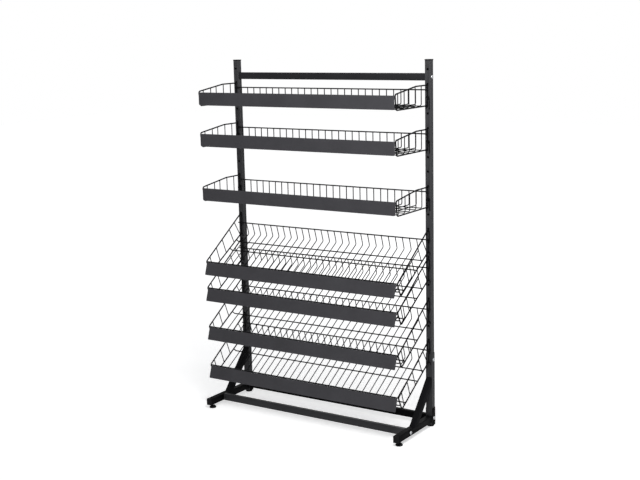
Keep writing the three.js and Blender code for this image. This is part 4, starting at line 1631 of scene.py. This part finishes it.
@dataclass
class Basket(Shelf):
    """A sloping basket: a wire chute whose front wall leans back under a tilted plate."""

    kind: str = "basket"
    tilt: float = 18.2
    depth: float = 267.0
    side_drop: float = 3.0
    front_drop: float = 183.0
    heel_reach: float = 239.0
    heel_drop: float = 240.0
    back_drop: float = 97.0
    rail_drop: float = 46.0
    knee_back: float = 10.0
    sink: float = 11.0
    loop_width: float = 12.0
    loop_shoulder: float = 11.0
    end_bend: float = 9.0
    long_wires: tuple[float, ...] = (42.0, 94.0, 199.0)
    long_size: float = 4.2
    wall_wire: float = 249.0
    rung_tops: tuple[float, ...] = (54.0, 93.0, 148.0, 193.0, 241.0)
    rung_feet: tuple[float, ...] = (12.0, 60.0, 121.0, 169.0, 220.0)
    side_weld: Triple = (3.0, 2.8, 3.2)
    rung_weld: Triple = (2.7, 2.9, 2.9)
    rail_weld: Triple = (2.2, 2.5, 2.5)
    cross_weld: Triple = (1.9, 1.95, 1.95)
    stirrup_drop: float = 99.0
    stirrup_length: float = 11.0

    @property
    def top_line(self) -> tuple[Point, Point]:
        """Upper side wire in side view."""
        return (self.face_y, -self.side_drop), (-self.depth, -self.front_drop)

    @property
    def low_line(self) -> tuple[Point, Point]:
        """Lower side wire in side view."""
        return (-self.heel_reach, -self.heel_drop), (self.face_y, -self.back_drop)

    @property
    def plate_top(self) -> Point:
        """Upper edge of the plate, behind its sheet, just under the front wire."""
        below = self.drawn(self.front_wire) / 2 + 0.05
        return -self.depth - 2 * RACK.fit_gap, -self.front_drop - below

    def sides(self, made: Sketch) -> None:
        """Adds side frames with rungs, hooks, loops and stirrups.

        Args:
            made: The sketch of the wires.
        """
        for side in Side:
            x = side.value * RACK.post_x
            pairs = [*self.top_line, *self.low_line]
            made.wire(self.profile(x, pairs), self.drawn(self.frame_wire), bend=8.0, sides=12)
            for top, foot in zip(self.rung_tops, self.rung_feet):
                ends = [on_line(self.top_line, -top), on_line(self.low_line, -foot)]
                made.wire(self.profile(x, ends), self.drawn(self.mesh_wire))
                self.weld(made, x, ends, self.rung_weld)
            self.hook(made, x, self.loop_shoulder)
            self.loop(made, x)
            drops = (self.rail_drop - 4.0, self.back_drop + self.frame_wire)
            stem = [(self.face_y, -drop) for drop in drops]
            made.wire(self.profile(x, stem), self.hook_wire, sides=12)
            self.stirrup(made, x, self.stirrup_drop, self.stirrup_length)
            drops = (self.side_drop, self.back_drop)
            self.weld(made, x, [(self.face_y, -drop) for drop in drops], self.side_weld)

    def loop(self, made: Sketch, x: float) -> None:
        """Adds the two legs that the hook opens into.

        Args:
            made: The sketch of the wires.
            x: Place across.
        """
        y = self.rail_y + self.half(self.rail_wire) + self.half(self.mesh_wire) - self.weld_depth
        half, foot = self.loop_width / 2, self.rail_drop + self.rail_wire
        corners = [
            (-half, -foot),
            (-half, -self.loop_shoulder),
            (0.0, self.hook_z),
            (half, -self.loop_shoulder),
            (half, -foot),
        ]
        made.wire([Vector((x + u, y, z)) for u, z in corners], self.drawn(self.mesh_wire), bend=5.0)

    def floor(self, made: Sketch) -> None:
        """Adds the long wires, the bent cross wires and the rails, with their welds.

        Args:
            made: The sketch of the wires.
        """
        lift = 2 * self.half(self.mesh_wire) + self.weld_gap
        low, front = self.low_line, self.top_line[1]
        ends = [on_line(low, -reach) for reach in self.long_wires]
        for end in ends:
            self.long_wire(made, end, below_line(low, end, self.sink))
        floor_end, floor_start = (below_line(low, p, self.sink - lift) for p in low)
        knee = on_line((floor_start, floor_end), self.knee_back)
        wall = (front, floor_end)
        wall_at = on_line(wall, -self.wall_wire)
        self.long_wire(made, wall_at, below_line(wall, wall_at, lift))
        back = (self.rail_y, -self.rail_drop)
        rail = self.across(RACK.post_x + self.loop_width, back)
        made.wire(rail, self.drawn(self.rail_wire), sides=12)
        made.wire(self.across(RACK.post_x, front), self.drawn(self.front_wire), sides=12)
        crossings = [below_line(low, end, self.sink - lift / 2) for end in ends]
        crossings.append(below_line(wall, wall_at, lift / 2))
        for x in self.cross_places():
            line = self.profile(x, [back, knee, floor_end, front])
            made.wire(line, self.drawn(self.mesh_wire), bend=8.0, sides=8)
            self.weld(made, x, (back, front), self.rail_weld)
            self.weld(made, x, crossings, self.cross_weld, sides=6)

    def long_wire(self, made: Sketch, end: Point, middle: Point) -> None:
        """Adds a long wire with its ends bent in to the side frames.

        Args:
            made: The sketch of the wires.
            end: Its ends in side view.
            middle: Its middle in side view.
        """
        x = RACK.post_x
        corners = [(-x, end), (-x + self.end_bend, middle), (x - self.end_bend, middle), (x, end)]
        made.wire([Vector((u, *pair)) for u, pair in corners], self.drawn(self.long_size), bend=6.0)


def on_line(line: Sequence[Point], y: float) -> Point:
    """Returns the point of a line in side view at the given place from front to back."""
    (y0, z0), (y1, z1) = line
    return y, z0 + (z1 - z0) * (y - y0) / (y1 - y0)


def below_line(line: Sequence[Point], point: Point, depth: float) -> Point:
    """Moves a point square to a line, to the side below it.

    Args:
        line: Two points in side view.
        point: The point to move.
        depth: How far.

    Returns:
        The moved point.
    """
    (y0, z0), (y1, z1) = line
    length = math.hypot(y1 - y0, z1 - z0) * math.copysign(1.0, y1 - y0)
    return point[0] + depth * (z1 - z0) / length, point[1] - depth * (y1 - y0) / length


@dataclass(frozen=True)
class Lamp:
    """A soft square lamp that faces the rack's middle, in metres and watts."""

    name: str
    at: Triple
    size: float
    watts: float
    aim: Triple = (0.0, 0.0, 0.8)

    def hang(self) -> None:
        """Hangs the lamp in the room."""
        data = bpy.data.lights.new(self.name, "AREA")
        data.shape = "SQUARE"
        data.size = self.size
        data.energy = self.watts
        thing = put(self.name, data)
        thing.location = self.at
        ahead = Vector(self.aim) - Vector(self.at)
        thing.rotation_euler = ahead.to_track_quat("-Z", "Y").to_euler()


@dataclass
class Studio:
    """Pale floor, soft light and the camera at the photograph's place.

    The camera was fitted to the corners of the plates, posts and rails. Its place is in
    millimetres; the floor, its glow and the lamps are in metres.
    """

    camera_at: Triple = (2721.7, -4199.9, 1721.4)
    azimuth: float = 33.47
    elevation: float = 11.15
    roll: float = -1.339
    focal_pixels: float = 1150.2
    centre_row: float = 250.0
    image: tuple[int, int] = (640, 480)
    film_width: float = 36.0
    sight: float = 60.0
    floor_half: float = 14.0
    floor_tones: tuple[float, float] = (0.86, 0.88)
    brightest: Triple = (0.3, -1.2, 0.0)
    fade_start: float = 0.5
    fade_end: float = 6.5
    glow_near: float = 0.4
    glow_far: float = 0.87
    air: Colour = (0.93, 0.95, 1.0)
    air_strength: float = 0.15
    lamps: tuple[Lamp, ...] = (
        Lamp("key", (1.35, -1.45, 2.5), 0.9, 52.0),
        Lamp("fill", (0.9, -5.8, 2.2), 2.4, 55.0),
        Lamp("back", (-0.6, 3.6, 2.2), 2.4, 30.0),
    )

    def build(self) -> None:
        """Builds the studio."""
        self.camera()
        self.floor()
        self.world()
        for lamp in self.lamps:
            lamp.hang()
        bpy.context.scene.view_settings.view_transform = "Standard"

    def camera(self) -> None:
        """Places the camera with the photograph's angle, lens and framing."""
        az, el, roll = (math.radians(a) for a in (self.azimuth, self.elevation, self.roll))
        ahead = Vector((-math.sin(az) * math.cos(el), math.cos(az) * math.cos(el), -math.sin(el)))
        right = Vector((math.cos(az), math.sin(az), 0.0))
        up = right.cross(ahead)
        turned_right = right * math.cos(roll) + up * math.sin(roll)
        turned_up = up * math.cos(roll) - right * math.sin(roll)
        width, height = self.image
        data = bpy.data.cameras.new("camera")
        data.sensor_width = self.film_width
        data.lens = self.focal_pixels * self.film_width / width
        data.shift_y = (self.centre_row - height / 2) / width
        data.clip_end = self.sight
        thing = put("camera", data)
        turn = Matrix((turned_right, turned_up, -ahead)).transposed().to_4x4()
        x, y, z = self.camera_at
        thing.matrix_world = Matrix.Translation(Vector((x, y + RACK.face_shift, z)) * MM) @ turn
        bpy.context.scene.camera = thing

    def floor(self) -> None:
        """Lays a wide pale floor that takes the rack's shadow."""
        half = self.floor_half
        mesh = bpy.data.meshes.new("floor")
        corners = [(x * half, y * half, 0.0) for x, y in ((-1, -1), (1, -1), (1, 1), (-1, 1))]
        mesh.from_pydata(corners, [], [(0, 1, 2, 3)])
        mesh.materials.append(self.floor_paint())
        put("floor", mesh)

    def floor_paint(self) -> Material:
        """Mixes the floor's matt paint, which glows towards white away from the rack.

        Returns:
            The material.
        """
        sheet = NodeSheet("pale_floor")
        place = sheet.place()
        dark, light = ((tone,) * 3 for tone in self.floor_tones)
        tone = sheet.blend(sheet.noise(place, 3.0, 2.0), dark, light)
        sheet.join(tone, sheet.shader.inputs["Base Color"])
        sheet.shader.inputs["Roughness"].default_value = 0.9
        sheet.shader.inputs["Specular IOR Level"].default_value = 0.1
        away = sheet.add("ShaderNodeVectorMath", operation="DISTANCE")
        sheet.join(place, away.inputs[0])
        away.inputs[1].default_value = self.brightest
        span = sheet.add("ShaderNodeMapRange", From_Min=self.fade_start, From_Max=self.fade_end)
        sheet.join(away.outputs["Value"], span.inputs["Value"])
        fade = sheet.add("ShaderNodeMath", operation="SQRT")
        sheet.join(span.outputs["Result"], fade.inputs[0])
        glow = sheet.add("ShaderNodeMapRange", To_Min=self.glow_near, To_Max=self.glow_far)
        sheet.join(fade.outputs["Value"], glow.inputs["Value"])
        lift = sheet.add("ShaderNodeMath", operation="MULTIPLY")
        sheet.join(sheet.seen(), lift.inputs[0])
        sheet.join(glow.outputs["Result"], lift.inputs[1])
        sheet.shader.inputs["Emission Color"].default_value = (1.0, 1.0, 1.0, 1.0)
        sheet.join(lift.outputs["Value"], sheet.shader.inputs["Emission Strength"])
        return sheet.material

    def world(self) -> None:
        """Fills the room with plain soft light and shows white behind the rack."""
        world = bpy.data.worlds.new("white_room")
        bpy.context.scene.world = world
        world.use_nodes = True
        world.node_tree.nodes.clear()
        nodes = Nodes(world.node_tree)
        mix = nodes.add("ShaderNodeMixShader")
        nodes.join(nodes.seen(), mix.inputs["Fac"])
        lights = ((self.air, self.air_strength), ((1.0, 1.0, 1.0), 1.0))
        for i, (colour, strength) in enumerate(lights, start=1):
            light = nodes.add("ShaderNodeBackground", Color=(*colour, 1.0), Strength=strength)
            nodes.join(light.outputs["Background"], mix.inputs[i])
        out = nodes.add("ShaderNodeOutputWorld")
        nodes.join(mix.outputs["Shader"], out.inputs["Surface"])


def dress_inserts(looks: Finishes) -> None:
    """Gives the inserts under the posts, which keep their CAD shape, the moulded plastic.

    Args:
        looks: The rack's finishes.
    """
    for side in Side:
        name = f"post_insert_{side.label}"
        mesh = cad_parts[name].data
        mesh.materials.clear()
        mesh.materials.append(looks.plastic)
        LOG.info("%s keeps its CAD shape", name)


def main() -> None:
    """Builds the rack's sub-assemblies in order, then the studio."""
    logging.basicConfig(level=logging.INFO, format="%(name)s: %(message)s")
    looks = Finishes()
    Uprights(looks).build()
    Base(looks).build()
    Fasteners(looks).build()
    Glides(looks).build()
    for number, hole in enumerate((1, 4, 8), start=1):
        Tray(looks, number, hole).build()
    for number, hole in enumerate((11, 13, 16, 19), start=1):
        Basket(looks, number, hole).build()
    dress_inserts(looks)
    Studio().build()


if __name__ == "__main__":
    main()
